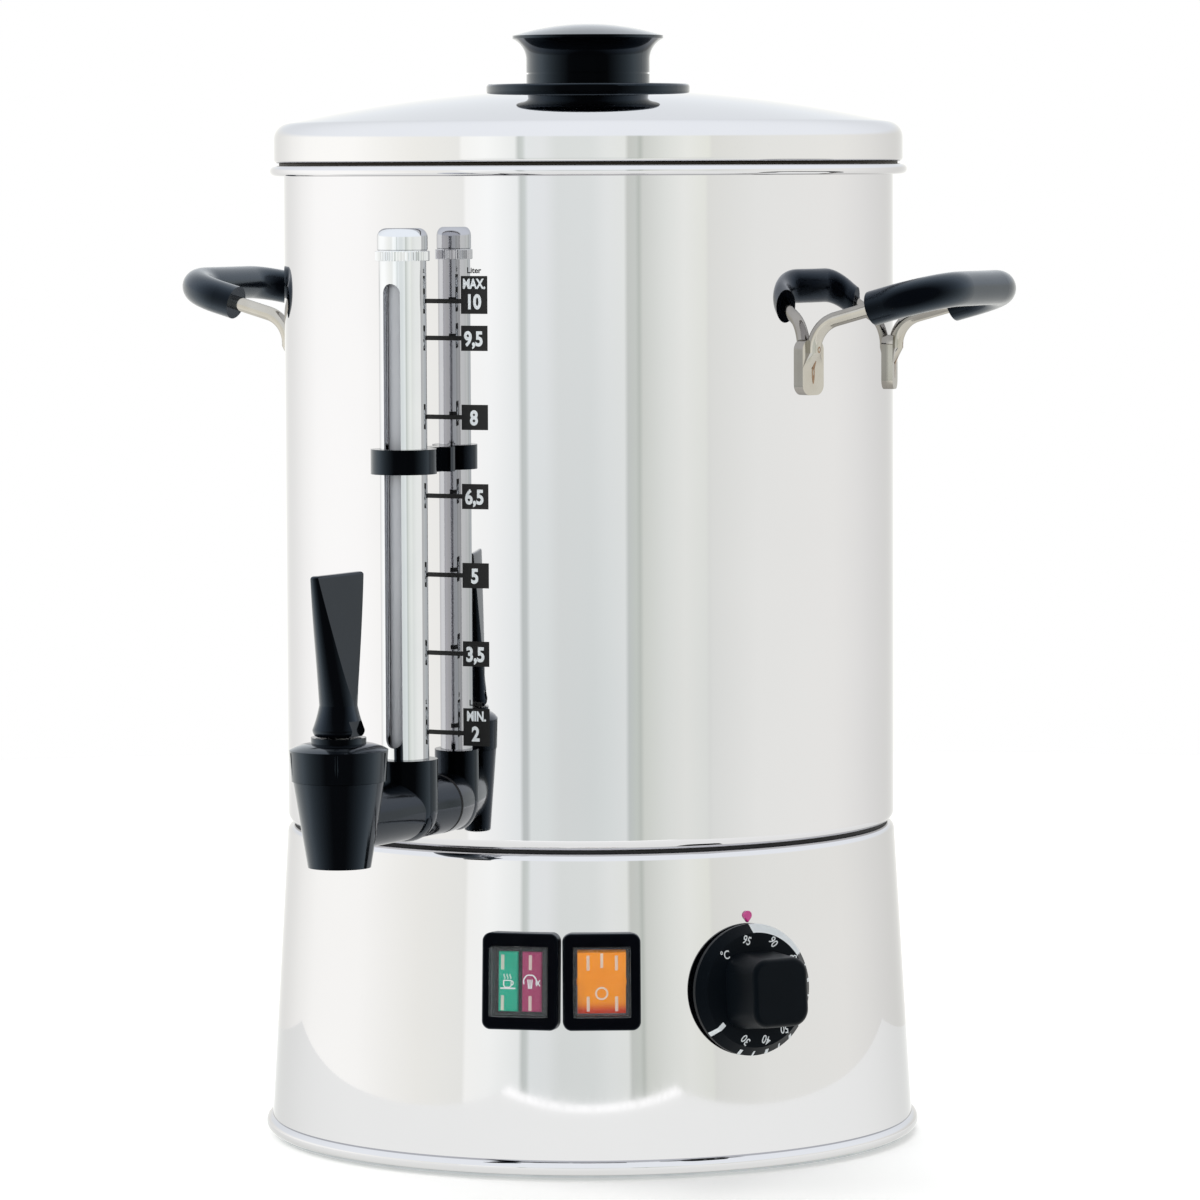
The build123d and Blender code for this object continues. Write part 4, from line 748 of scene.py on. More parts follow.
def arc(radius: float, start: float, end: float, steps: int, middle: Pair = (0.0, 0.0)) -> Line:
    """Points of an arc between two turns, in degrees clockwise from the top."""
    turns = [radians(start + (end - start) * i / steps) for i in range(steps + 1)]
    return [(middle[0] + radius * sin(t), middle[1] + radius * cos(t)) for t in turns]


# ---------------------------------------------------------------- sub-assemblies
class CadParts:
    """The solids of the urn, each dressed in the finish of its record slot."""

    # the seal that shows behind the tap is black, unlike the others
    special: ClassVar[dict[str, Stock]] = {"tap_outer_seal": Stock.BLACK_RUBBER}

    def dress(self) -> None:
        """Gives every node its material."""
        slots = {part["node"]: part["material_slot"] for part in frame["record"]["subparts"]}
        for name, node in frame["nodes"].items():
            stock = self.special.get(name, Stock[slots[name].upper()])
            node.data.materials.clear()
            node.data.materials.append(stock.material)
            LOG.info("%s: dressed as %s", name, stock.value.name)


@dataclass(frozen=True)
class Knurl:
    """Teeth cut into the outer face of a turned band.

    Attributes:
        low: Height where they start, in millimetres.
        high: Height where they end.
        beyond: Radius that only the band's outer face goes beyond.
        teeth: Number of teeth.
        depth: Depth between two of them.
    """

    low: float
    high: float
    beyond: float
    teeth: int
    depth: float


@dataclass
class Lathe:
    """An outline that is turned round an upright axis, fine enough for a mirror finish.

    Attributes:
        name: Name of the new piece.
        node: Solid that it stands for.
        body: Body that it rides on.
        slot: Record slot of the piece, handed on when it is made.
        axis: Where its axis stands, in millimetres.
    """

    name: str
    node: str
    body: str
    slot: str
    axis: Pair = (0.0, 0.0)
    steps_round: ClassVar[int] = 288
    steps_per_tooth: ClassVar[int] = 4
    crease: ClassVar[float] = radians(25)  # a sharper turn than this shows as an edge
    long_run: ClassVar[float] = 3.0  # a longer stretch than this, in millimetres, is held flat
    hold_at: ClassVar[float] = 0.4  # by points this near to its ends

    def turn(
        self, outline: Line, stocks: list[Stock], dull_and_shaded: frozenset = frozenset(), knurl: Knurl | None = None
    ) -> bpy.types.Object:
        """Makes the piece and dresses it.

        Args:
            outline: Radius and height of each point, in millimetres, going round the section.
            stocks: Its finish, and a second one for the brushed stretches inside the pot and the stretches painted
                dark as shade in a gap.
            dull_and_shaded: Outline points from which such a stretch starts.
            knurl: Teeth of its knurled band, if it has one.

        Returns:
            The new piece.
        """
        held, finishes = self.held(outline, dull_and_shaded)
        count = len(held)
        steps = self.steps_per_tooth * knurl.teeth if knurl else self.steps_round
        mesh = bmesh.new()
        rings = [self.ring(mesh, point, steps, knurl) for point in held]
        on_axis = held[0][0] == 0
        for i in range(count - 1 if on_axis else count):
            first, second = rings[i], rings[(i + 1) % count]
            for j in range(steps):
                ends = ((first, j), (first, j + 1), (second, j + 1), (second, j))
                corners = list(dict.fromkeys(ring[at % len(ring)] for ring, at in ends))
                if len(corners) > 2:
                    face = mesh.faces.new(corners)
                    face.smooth = True
                    face.material_index = finishes[i]
        bmesh.ops.recalc_face_normals(mesh, faces=mesh.faces)
        for edge in mesh.edges:
            edge.smooth = len(edge.link_faces) < 2 or edge.calc_face_angle() < self.crease
        piece = add_piece(self.name, mesh, stocks, self.body, self.slot)
        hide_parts(self.node)
        return piece

    def ring(self, mesh: bmesh.types.BMesh, point: Pair, steps: int, knurl: Knurl | None) -> list:
        """Adds the points that one point of the outline is turned into.

        Args:
            mesh: Mesh that they go into.
            point: Its radius and height, in millimetres.
            steps: Number of points in a full turn.
            knurl: Teeth of the knurled band, if there is one.

        Returns:
            The points in order, or a single one on the axis.
        """
        radius, height = point
        toothed = knurl and knurl.low < height < knurl.high and radius > knurl.beyond
        half_depth = knurl.depth / 2 if toothed else 0.0
        points = []
        for i in range(steps if radius > 0 else 1):
            cut = half_depth * (1 - cos(2 * pi * i / self.steps_per_tooth))
            spot = outward(360 * i / steps) * (radius - cut) + Vector((*self.axis, height))
            points.append(mesh.verts.new(spot * MM))
        return points

    def held(self, outline: Line, dull_and_shaded: frozenset) -> tuple[Line, list[int]]:
        """Adds a point near both ends of each long run, so that its shading stays flat between them.

        Args:
            outline: Points of the section.
            dull_and_shaded: Outline points from which a brushed stretch, or a stretch painted dark as shade,
                starts.

        Returns:
            All the points, and for each one the place of its stretch's finish among the piece's.
        """
        points, finishes = [], []
        for i, (here, there) in enumerate(zip(outline, outline[1:] + outline[:1])):
            run = hypot(there[0] - here[0], there[1] - here[1])
            shares = (0.0, self.hold_at / run, 1 - self.hold_at / run) if run > self.long_run else (0.0,)
            for share in shares:
                points.append(tuple(a + (b - a) * share for a, b in zip(here, there)))
                finishes.append(1 if i in dull_and_shaded else 0)
        if outline[0][0] == 0:  # what starts on the axis ends there, with no run back
            kept = len(points) - len(shares) + 1
            points, finishes = points[:kept], finishes[:kept]
        return points, finishes


@dataclass
class VesselShell:
    """Drawn pot with a rolled rim: its wall mirror-polished outside, and brushed inside."""

    wall: float = 125.0
    bore: float = 124.0
    floor: float = 129.2
    sheet: float = 1.0
    corner: float = 4.377
    corner_height: float = 133.2
    corner_start: float = 156.05
    inner_corner: float = 3.031
    inner_corner_end: float = 171.8
    flange: float = 397.4
    rim: float = 398.5
    bead: float = 2.15
    bead_middle: Pair = (128.55, 396.35)
    bead_start: float = 299.2

    def build(self) -> None:
        """Turns the pot from the middle of its floor up the outside, and back down inside."""
        outline = [(0.0, self.floor)]
        outer_middle = (self.wall - self.corner, self.corner_height)
        outline += arc(self.corner, self.corner_start, 90, steps=8, middle=outer_middle)
        outline += [(self.wall, self.flange)]
        outline += arc(self.bead, self.bead_start, 0, steps=30, middle=self.bead_middle)
        inside = len(outline)
        outline += [(self.bore, self.rim)]
        inner_middle = (self.bore - self.inner_corner, self.corner_height)
        outline += arc(self.inner_corner, 90, self.inner_corner_end, steps=8, middle=inner_middle)
        outline += [(0.0, self.floor + self.sheet)]
        brushed = frozenset(range(inside, len(outline)))
        stocks = [Stock.VESSEL_STEEL, Stock.INSIDE_STEEL]
        Lathe("vessel_sheet", "vessel", "root", "vessel_steel").turn(outline, stocks, brushed)


@dataclass
class LidShell:
    """Spun dome, shoulder and curled edge, with the ring that drops into the vessel."""

    sheet: float = 0.8
    dome: float = 555.0
    dome_height: float = -125.1  # of the centre that the dome is struck from
    shoulder: float = 7.0
    shoulder_middle: Pair = (122.0, 409.15)
    shoulder_turn: float = 12.86
    curl: float = 1.5
    curl_middle: Pair = (127.5, 401.0)
    curl_end: float = 210.0
    inner_curl: Pair = (240.0, 387.8)
    unpolished: int = 5  # parts of the curl, from its end, painted dark as the shade in the gap under the lid
    ring: tuple[float, float, float] = (122.1, 122.9, 126.75)  # its two faces and its flange
    ring_foot: float = 390.5
    ring_top: float = 400.25
    ring_seat: float = VesselShell.rim
    knob_hole: float = 2.7

    def build(self) -> None:
        """Turns the lid from its hole down the outside, round the ring and back up inside."""
        top = (0.0, self.dome_height)
        inner_dome, inner_shoulder = self.dome - self.sheet, self.shoulder - self.sheet
        hole, inner_hole = (degrees(asin(self.knob_hole / dome)) for dome in (self.dome, inner_dome))
        outer = arc(self.dome, hole, self.shoulder_turn, steps=60, middle=top)
        outer += arc(self.shoulder, self.shoulder_turn, 90, steps=14, middle=self.shoulder_middle)[1:]
        outer += arc(self.curl, 90, self.curl_end, steps=14, middle=self.curl_middle)
        inside, outside, flange = self.ring
        ring = [(flange, self.ring_seat), (outside, self.ring_seat), (outside, self.ring_foot)]
        ring += [(inside, self.ring_foot), (inside, self.ring_top)]
        inner = arc(self.curl, *self.inner_curl, steps=12, middle=self.curl_middle)
        inner += arc(inner_shoulder, 90, self.shoulder_turn, steps=10, middle=self.shoulder_middle)
        inner += arc(inner_dome, self.shoulder_turn, inner_hole, steps=40, middle=top)[1:]
        last = len(outer) - 1
        # the curl's end and the flange take the dark finish that paints the shade in the gap
        dull_and_shaded = frozenset(range(last - self.unpolished, last + 2))
        stocks = [Stock.LID_STEEL, Stock.DULL_EDGE]
        Lathe("lid_sheet", "lid", "lid", "lid_steel").turn(outer + ring + inner, stocks, dull_and_shaded)


@dataclass
class BaseShell:
    """Conical skirt with a ledge on top and a rolled bead round its foot."""

    ledge: float = 101.1
    top: float = 128.2
    sheet: float = 0.8
    corner: float = 3.0
    corner_middle: Pair = (122.275, 125.2)
    inner_corner: float = 2.2
    inner_middle: Pair = (122.229, 125.2)
    corner_turn: float = 86.55  # where a corner runs into the leaning wall
    bead: float = 3.0
    bead_middle: Pair = (131.946, 5.0)
    bead_turns: Pair = (7.7, 352.5)

    def build(self) -> None:
        """Turns the skirt from its ledge down the outside, round the bead and back up inside."""
        outline = [(self.ledge, self.top)]
        outline += arc(self.corner, 0, self.corner_turn, steps=10, middle=self.corner_middle)
        outline += arc(self.bead, *self.bead_turns, steps=44, middle=self.bead_middle)
        outline += arc(self.inner_corner, self.corner_turn, 0, steps=8, middle=self.inner_middle)
        outline += [(self.ledge, self.top - self.sheet)]
        Lathe("base_sheet", "base_shell", "root", "base_steel").turn(outline, [Stock.BASE_STEEL])


@dataclass
class GaugeCap:
    """Turned brass cap of the gauge, with a rounded crown and a finely knurled band."""

    axis: Pair = (0.0, -148.2)
    foot: float = 361.4
    seat: float = 369.8
    top: float = 374.2
    bore: float = 9.3
    radius: float = 9.85
    crown: float = 3.6
    band: float = 10.65
    band_height: float = 3.9
    chamfer: float = 0.25
    neck: float = 9.55
    teeth: int = 54
    tooth: float = 0.3

    def build(self) -> None:
        """Turns the cap from its crown down, and back up inside."""
        step = self.foot + self.band_height
        outline = [(0.0, self.top)]
        crown_middle = (self.radius - self.crown, self.top - self.crown)
        outline += arc(self.crown, 0, 90, steps=12, middle=crown_middle)
        outline += [(self.radius, step + 2 * self.chamfer)]
        outline += [(self.neck, step + self.chamfer), (self.neck, step)]
        outline += [(self.band - self.chamfer, step), (self.band, step - self.chamfer)]
        outline += [(self.band, self.foot + self.chamfer), (self.band - self.chamfer, self.foot)]
        outline += [(self.bore, self.foot), (self.bore, self.seat), (0.0, self.seat)]
        cap = Lathe("gauge_cap_turned", "gauge_cap", "root", "chrome_plate", self.axis)
        knurl = Knurl(self.foot, step, self.radius, self.teeth, self.tooth)
        cap.turn(outline, [Stock.CHROME_PLATE], knurl=knurl)


@dataclass
class ValveSpring:
    """Coil spring of the tap, which the rising plug presses together against the bonnet."""

    lift: float = 5.5

    def build(self) -> None:
        """Makes the coil again as a piece with its own mesh, riding on the plug."""
        solid = frame["nodes"]["valve_spring"]
        coil = add_object("valve_spring_coil", solid.data.copy())
        coil.matrix_world = solid.matrix_world
        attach(coil, "valve")
        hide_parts("valve_spring")
        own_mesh(coil)
        LOG.info("valve_spring_coil: shortens by %.1f mm", self.lift)


@dataclass
class WeldMarks:
    """Heat marks of the two spot welds on each handle tab."""

    tab_face: float = 127.5
    tab_azimuths: tuple = (73.4, 106.6, -73.4, -106.6)
    middle: float = 316.0
    half_width: float = 0.8
    shapes: tuple = ((0.0, 4.6, 0.3), (9.0, 1.3, 0.55))  # rise, half length and open share of each mark
    steps: int = 24
    lift: float = 0.04

    def build(self) -> None:
        """Draws a ring above and a longer mark below on every tab."""
        marks = Trim("spot_weld_marks", Stock.WELD_MARK, "root", "handle_steel")
        for azimuth in self.tab_azimuths:
            side = "right" if azimuth > 0 else "left"
            flat = FlatPlace(
                outward(azimuth) * self.tab_face * MM + Vector((0, 0, self.middle * MM)),
                outward(azimuth + 90),
                outward(azimuth),
            )
            place = DrapedPlace(flat, f"{side}_handle_bracket")
            for rise, length, hole in self.shapes:
                circle = arc(1.0, 0, 360, self.steps)
                outer = [(self.half_width * x, rise + length * y) for x, y in circle]
                inner = [(hole * x, rise + (y - rise) * hole) for x, y in outer]
                marks.band(place, inner, outer, self.lift)
        marks.finish()


@dataclass
class LitreScale:
    """Screen-printed scale beside the gauge: a bar, a tick and a box with a number at each mark."""

    wall_radius: float = 125.0
    azimuth: float = 8.2
    box_width: float = 11.2
    box_height: float = 9.9
    tick_reach: float = 16.5
    tick_height: float = 1.8
    figure_height: float = 5.7
    figure_shift: float = -0.3
    word_height: float = 3.9
    word_drop: float = 0.75  # of the word's height, from the box's top to its middle
    small_word_height: float = 2.3
    small_word_bold: float = 0.08
    box_steps: int = 8
    ink: float = 0.03
    figure_style: ClassVar[dict[str, float]] = {"bold": 0.3, "narrow": 0.84}
    word_style: ClassVar[dict[str, float]] = {"bold": 0.2, "narrow": 0.76}
    marks: tuple = (
        ("10", 345.3),
        ("9,5", 330.8),
        ("8", 299.8),
        ("6,5", 268.7),
        ("5", 237.6),
        ("3,5", 206.7),
        ("2", 175.3),
    )
    words: tuple = (("10", "MAX."), ("2", "MIN."))

    def build(self) -> None:
        """Prints the black shapes first and the white figures on them."""
        black = Trim("litre_scale_black", Stock.BLACK_INK, "root", "black_plastic")
        white = Trim("litre_scale_white", Stock.WHITE_INK, "root", "white_nylon")
        words, half, over = dict(self.words), self.box_width / 2, 2 * self.ink
        for figure, height in self.marks:
            place = RoundPlace(self.wall_radius, self.azimuth, height)
            low, high = -self.box_height / 2, self.box_height / 2
            if figure in words:
                high += self.box_height / 2
                small, bold = self.small_word_height, self.small_word_bold
                black.letters(place, "Liter", (0.0, high + small), small, self.ink, bold=bold)
                at = (0.0, high - self.word_drop * self.word_height)
                white.letters(place, words[figure], at, self.word_height, over, **self.word_style)
            black.patch(place, (-half, low), (half, high), self.ink, self.box_steps)
            tick = self.tick_height / 2
            black.patch(place, (-half - self.tick_reach, -tick), (-half, tick), self.ink, self.box_steps)
            at = (self.figure_shift, 0)
            white.letters(place, figure, at, self.figure_height, over, **self.figure_style)
        black.finish(self.ink)
        white.finish(self.ink)


@dataclass
class DialPrint:
    """White print on the dial's skirt: figures, ticks, the keep-hot arc and the off bar."""

    face: float = 6.0
    face_radius: float = 22.7
    rim_radius: float = 26.1
    bevel_drop: float = 3.5
    tick_foot: float = 24.2
    figure_ring: float = 20.4
    figure_height: float = 3.5
    figure_turn: float = 34.0  # how far each figure is turned clockwise from square to its radius
    ink: float = 0.03
    figures: tuple = (
        ("95", -10.6),
        ("90", 24.2),
        ("80", 57.5),
        ("70", 87.0),
        ("60", 115.5),
        ("50", 143.6),
        ("40", 170.3),
        ("30", 197.3),
        ("°C", -43.5),
    )
    tick_first: float = 57.3
    tick_step: float = 13.93
    tick_count: int = 11
    tick_widths: Pair = (1.5, 0.8)
    arc_start: float = -2.0
    arc_end: float = 57.3
    arc_steps: int = 24
    off_azimuth: float = 231.0
    off_width: float = 2.0
    off_start: float = 19.6
    figure_style: ClassVar[dict[str, float]] = {"bold": 0.06, "narrow": 0.8}

    def build(self) -> None:
        """Prints on the flat ring, and on the bevel outside it."""
        joint = next(j for j in frame["joints"] if j["name"] == "dial_turn")
        out = Vector(joint["axis"]).normalized()
        right = Vector((0, 0, 1)).cross(out).normalized()
        face = FlatPlace(Vector(joint["pos_m"]) + out * self.face * MM, right, out)
        white = Trim("dial_print", Stock.WHITE_INK, "dial", "white_nylon")
        for text, turn in self.figures:
            at = arc(self.figure_ring, turn, turn, steps=1)[0]
            style = {**self.figure_style, "turn": turn + self.figure_turn}
            white.letters(face, text, at, self.figure_height, self.ink, **style)
        for i in range(self.tick_count):
            self.tick(white, face, self.tick_first + i * self.tick_step, self.tick_widths[i % 2])
        self.bevel(white, face, self.arc_start, self.arc_end, self.arc_steps)
        turn, half = self.off_azimuth, self.half_turn(self.off_width)
        ends = [arc(radius, turn, turn, steps=1)[0] for radius in (self.off_start, self.face_radius)]
        white.stroke(face, ends, self.off_width, self.ink)
        self.bevel(white, face, turn - half, turn + half, 2)
        white.finish(self.ink)

    def half_turn(self, width: float) -> float:
        """Half the angle that a width takes up on the rim, in degrees."""
        return degrees(width / self.rim_radius) / 2

    def tick(self, white: Trim, face: FlatPlace, turn: float, width: float) -> None:
        """Prints one tick on the outer part of the bevel.

        Args:
            white: Print that it belongs to.
            face: The dial's face.
            turn: Where it is, in degrees clockwise from the top.
            width: Its width, in millimetres.
        """
        half = self.half_turn(width)
        inner = arc(self.tick_foot, turn - half, turn + half, steps=2)
        outer = arc(self.rim_radius, turn - half, turn + half, steps=2)
        share = (self.tick_foot - self.face_radius) / (self.rim_radius - self.face_radius)
        white.band(face, inner, outer, self.ink - self.bevel_drop, self.ink - self.bevel_drop * share)

    def bevel(self, white: Trim, face: FlatPlace, start: float, end: float, steps: int) -> None:
        """Prints a stretch of the bevelled rim.

        Args:
            white: Print that it belongs to.
            face: The dial's face.
            start: Where it starts, in degrees clockwise from the top.
            end: Where it ends.
            steps: Number of parts.
        """
        inner = arc(self.face_radius, start, end, steps)
        outer = arc(self.rim_radius, start, end, steps)
        white.band(face, inner, outer, self.ink - self.bevel_drop, self.ink)


@dataclass
class SwitchPanel:
    """What is printed and moulded on the two units beside the dial."""

    height: float = 78.4
    pilot_azimuth: float = 17.0
    switch_azimuth: float = 31.0
    lens_face: float = 4.8
    lens_offset: float = 4.75
    cover_face: float = 10.5
    rib_width: float = 1.2
    rib_length: float = 5.8
    rib_rise: float = 0.35
    rib_sink: float = 0.05
    rib_spacing: Pair = (11.1, 16.0)
    line: float = 0.42
    shares: ClassVar[dict[str, float]] = {"saucer": 1.4, "wisp": 0.7, "cloud": 1.2, "jet": 1.1}  # of the line
    ink: float = 0.03
    saucer: tuple = ((-3.0, -2.7), (3.0, -2.7))
    mug: tuple = ((-1.7, 0.4), (-1.7, -1.6), (-1.1, -2.3), (0.7, -2.3), (1.3, -1.6), (1.3, 0.4), (-1.7, 0.4))
    mug_handle: float = 0.85
    mug_handle_middle: Pair = (1.3, -0.6)
    wisps: tuple = (-1.4, -0.2, 1.0)
    cloud: float = 2.6
    cloud_turn: float = 112.0  # how far it reaches down on both sides
    cloud_middle: Pair = (-0.6, 0.0)
    jets: tuple = (-1, 0, 1)
    on_mark: Pair = (5.6, 11.4)
    on_width: float = 1.1
    off_ring: Pair = (1.9, 2.6)
    off_middle: Pair = (0.0, -4.6)

    def build(self) -> None:
        """Adds the ribs of both covers, the pictograms and the rocker's marks."""
        wall = BaseWall()
        for name, azimuth in (("pilot", self.pilot_azimuth), ("switch", self.switch_azimuth)):
            ribs = Trim(f"{name}_cover_ribs", Stock.COVER_RIB, "root", "clear_cover")
            place = wall.place(azimuth, self.height, self.cover_face)
            for i in (-0.5, 0.5):
                for j in (-0.5, 0.5):
                    at = (i * self.rib_spacing[0], j * self.rib_spacing[1])
                    ribs.bar(place, at, (self.rib_width, self.rib_length), -self.rib_sink, self.rib_rise)
            ribs.finish()
        lenses = wall.place(self.pilot_azimuth, self.height, self.lens_face)
        self.cup(lenses.moved(-self.lens_offset))
        self.steam(lenses.moved(self.lens_offset))
        self.rocker_marks(wall.place(self.switch_azimuth, self.height, 0.0))

    def width(self, part: str) -> float:
        """Width of the line that draws a part of a sign, in millimetres."""
        return self.shares[part] * self.line

    def cup(self, lens: FlatPlace) -> None:
        """Prints a steaming cup on a saucer: ready.

        Args:
            lens: Face of its lens.
        """
        ink = Trim("pilot_sign_ready", Stock.WHITE_INK, "root", "white_nylon")
        ink.stroke(lens, self.saucer, self.width("saucer"), self.ink)
        ink.stroke(lens, self.mug, self.line, self.ink)
        handle = arc(self.mug_handle, 0, 180, steps=8, middle=self.mug_handle_middle)
        ink.stroke(lens, handle, self.line, self.ink)
        swing, start, step = 0.28, 1.0, 0.32  # of a wisp of steam, in millimetres
        half_wave, count = 3, 7  # points
        for foot in self.wisps:
            wave = [(foot + swing * sin(i * pi / half_wave), start + step * i) for i in range(count)]
            ink.stroke(lens, wave, self.width("wisp"), self.ink)
        ink.finish(self.ink)

    def steam(self, lens: FlatPlace) -> None:
        """Prints a cloud over three jets with a cross: no water.

        Args:
            lens: Face of its lens.
        """
        ink = Trim("pilot_sign_dry", Stock.WHITE_INK, "root", "white_nylon")
        lump, lump_steps = 0.22, 3.5
        cloud = arc(self.cloud, -self.cloud_turn, self.cloud_turn, steps=14, middle=self.cloud_middle)
        lumpy = [(x, y + lump * abs(sin(i * pi / lump_steps))) for i, (x, y) in enumerate(cloud)]
        ink.stroke(lens, lumpy, self.width("cloud"), self.ink)
        middle, foot, head = self.cloud_middle[0], -2.7, 0.9
        foot_spread, head_spread = 0.55, 0.85
        for i in self.jets:
            jet = [(middle + foot_spread * i, foot), (middle + head_spread * i, head)]
            ink.stroke(lens, jet, self.width("jet"), self.ink)
        left, right, reach, height = 1.9, 3.4, 1.2, -0.4  # of the cross
        for slope in (-reach, reach):
            ink.stroke(lens, [(left, height - slope), (right, height + slope)], self.line, self.ink)
        ink.finish(self.ink)

    def rocker_marks(self, front: FlatPlace) -> None:
        """Prints the on and off marks on the rocker's two faces.

        Args:
            front: Flat face behind which the rocker lies.
        """
        place = DrapedPlace(front, "switch_rocker")
        marks = Trim("rocker_marks", Stock.PALE_INK, "rocker", "white_nylon")
        (low, high), parts = self.on_mark, 4
        line = [(0, low + i * (high - low) / parts) for i in range(parts + 1)]
        marks.stroke(place, line, self.on_width, self.ink)
        inner, outer = (arc(radius, 0, 360, steps=32, middle=self.off_middle) for radius in self.off_ring)
        marks.band(place, inner, outer, self.ink)
        marks.finish()


# ---------------------------------------------------------------- studio
@dataclass(frozen=True)
class Panel:
    """One upright edge of the studio's surround, as polished metal sees it.

    Attributes:
        azimuth: Where it stands, in degrees from the tap.
        high: Colour at eye level.
        low: Colour below it, where that differs.
    """

    azimuth: float
    high: str
    low: str = ""


@dataclass
class Studio:
    """White studio: a surround of pale panels, a pale floor and three soft lamps."""

    floor_radius: float = 1.6
    table_half: float = 0.53
    table_front: float = 1.0
    table_back: float = 0.32
    table_rim: float = 0.13  # depth of its front edge, painted paler as a highlight
    rim_fade: float = 0.8  # share of that edge where the painted highlight is full
    table_turn: float = 29.3
    table_drop: float = 0.001
    table_face: str = "#DBDCD9"
    table_edge: str = "#FAFAF8"
    table_roughness: float = 0.6
    floor_steps: int = 96
    floor_lift: float = 0.22  # light that the floor adds for the eye, to meet the white behind it
    aim: float = 0.22  # height that the lamps face
    plain_level: float = 0.62
    polish_level: float = 1.62  # steel gives back about six tenths of what it is shown
    low_level: float = -0.087  # sine of the angle at which the low colours hold
    sky_start: float = 0.09
    sky_full: float = 0.22
    sky: str = "#E4E8EC"
    panels: tuple = (
        Panel(-180, "#DEDEDA"),
        Panel(-129, "#E9E9E6"),
        Panel(-108, "#F7F7F3"),
        Panel(-95, "#FBFBF7"),
        Panel(-65, "#F7F7F3"),
        Panel(-50, "#F0F0EB"),
        Panel(-36, "#EAEAE4"),
        Panel(-17.6, "#E5E6E1"),
        Panel(-17.0, "#F2F3EF"),
        Panel(-8, "#F5F7F4", "#EAECE9"),
        Panel(2.9, "#E8EBE8", "#DEE2E0"),
        Panel(3.4, "#BDC2BE", "#B6BBB8"),
        Panel(5.9, "#C9CFCB", "#B8BDBB"),
        Panel(6.4, "#E0E4E3", "#D5DAD7"),
        Panel(13, "#E0E3E2", "#D4D9D6"),
        Panel(18, "#D7DBD8", "#CED2CF"),
        Panel(30, "#D8DCD9", "#CDD2CF"),
        Panel(36, "#E0E3E0", "#D1D6D3"),
        Panel(42.6, "#E0E3DE", "#D6DAD7"),
        Panel(43.0, "#C2C5BF", "#B9BEBB"),
        Panel(46.8, "#C4C8C2", "#BEC4BC"),
        Panel(47.1, "#B5BAB3", "#B6BBB4"),
        Panel(48.1, "#B5BAB3", "#B6BBB4"),
        Panel(48.4, "#C9CCC6", "#C7CBC3"),
        Panel(58, "#DBDED8", "#D5D8D2"),
        Panel(65, "#E4E6E0", "#DBDDD7"),
        Panel(73.2, "#E0E2D9", "#D6D9D3"),
        Panel(73.6, "#D9DAD3", "#CBCDC8"),
        Panel(74.8, "#D9DAD4", "#D5D7D2"),
        Panel(95, "#E0E1DC"),
        Panel(134, "#E3E3DE"),
        Panel(160, "#DEDEDA"),
    )

    def build(self) -> None:
        """Sets up the world, the floor and the lamps."""
        self.world()
        self.floor()
        self.table()
        self.lamp("key_softbox", azimuth=-80, distance=1.9, height=1.5, size=(1.3, 1.3), watts=26)
        self.lamp("front_strip", azimuth=-8, distance=2.1, height=0.9, size=(0.35, 1.5), watts=9)
        self.lamp("top_softbox", azimuth=200, distance=0.9, height=1.9, size=(1.6, 1.2), watts=22)

    def surround(self, tree: Tree, share: Socket, low: bool) -> Socket:
        """Adds the colours of the panels round the urn.

        Args:
            tree: Node tree of the world.
            share: Share of the turn that a ray points at.
            low: Whether to take the colours below eye level.

        Returns:
            The colour there.
        """
        ramp = add_node(tree, "ShaderNodeValToRGB", {"Fac": share})
        stops = ramp.color_ramp.elements
        while len(stops) < len(self.panels):
            stops.new(1.0)
        for stop, panel in zip(stops, self.panels):
            stop.position = (panel.azimuth + 180) / 360
            stop.color = linear(panel.low or panel.high if low else panel.high)
        return ramp.outputs[0]

    def world(self) -> None:
        """White for the eye and through glass, panels in polish, and plain soft light on the rest."""
        world = bpy.data.worlds.new("studio")
        bpy.context.scene.world = world
        world.use_nodes = True
        tree = world.node_tree
        tree.nodes.clear()
        direction = add_node(tree, "ShaderNodeTexCoord").outputs["Generated"]
        x, y, z = add_node(tree, "ShaderNodeSeparateXYZ", {0: direction}).outputs
        angle = calculated(tree, "ARCTAN2", x, calculated(tree, "MULTIPLY", y, -1.0))
        share = mapped(tree, angle, (-pi, pi))
        level = mapped(tree, z, (self.low_level, 0.0))
        panels = mixed(tree, level, self.surround(tree, share, True), self.surround(tree, share, False))
        colour = mixed(tree, mapped(tree, z, (self.sky_start, self.sky_full)), panels, linear(self.sky))
        white = self.background(tree, linear(WHITE), 1.0)
        plain = self.background(tree, linear(WHITE), self.plain_level)
        polish = self.background(tree, colour, self.polish_level)
        rays = add_node(tree, "ShaderNodeLightPath").outputs
        lit = add_node(tree, "ShaderNodeMixShader", {0: rays["Is Glossy Ray"], 1: plain, 2: polish})
        seen = calculated(tree, "MAXIMUM", rays["Is Camera Ray"], rays["Is Transmission Ray"])
        surface = add_node(tree, "ShaderNodeMixShader", {0: seen, 1: lit.outputs[0], 2: white})
        add_node(tree, "ShaderNodeOutputWorld", {"Surface": surface.outputs[0]})

    @staticmethod
    def background(tree: Tree, colour: object, strength: float) -> Socket:
        """Adds a background of one colour and strength, and returns what it shines."""
        return add_node(tree, "ShaderNodeBackground", {"Color": colour, "Strength": strength}).outputs[0]

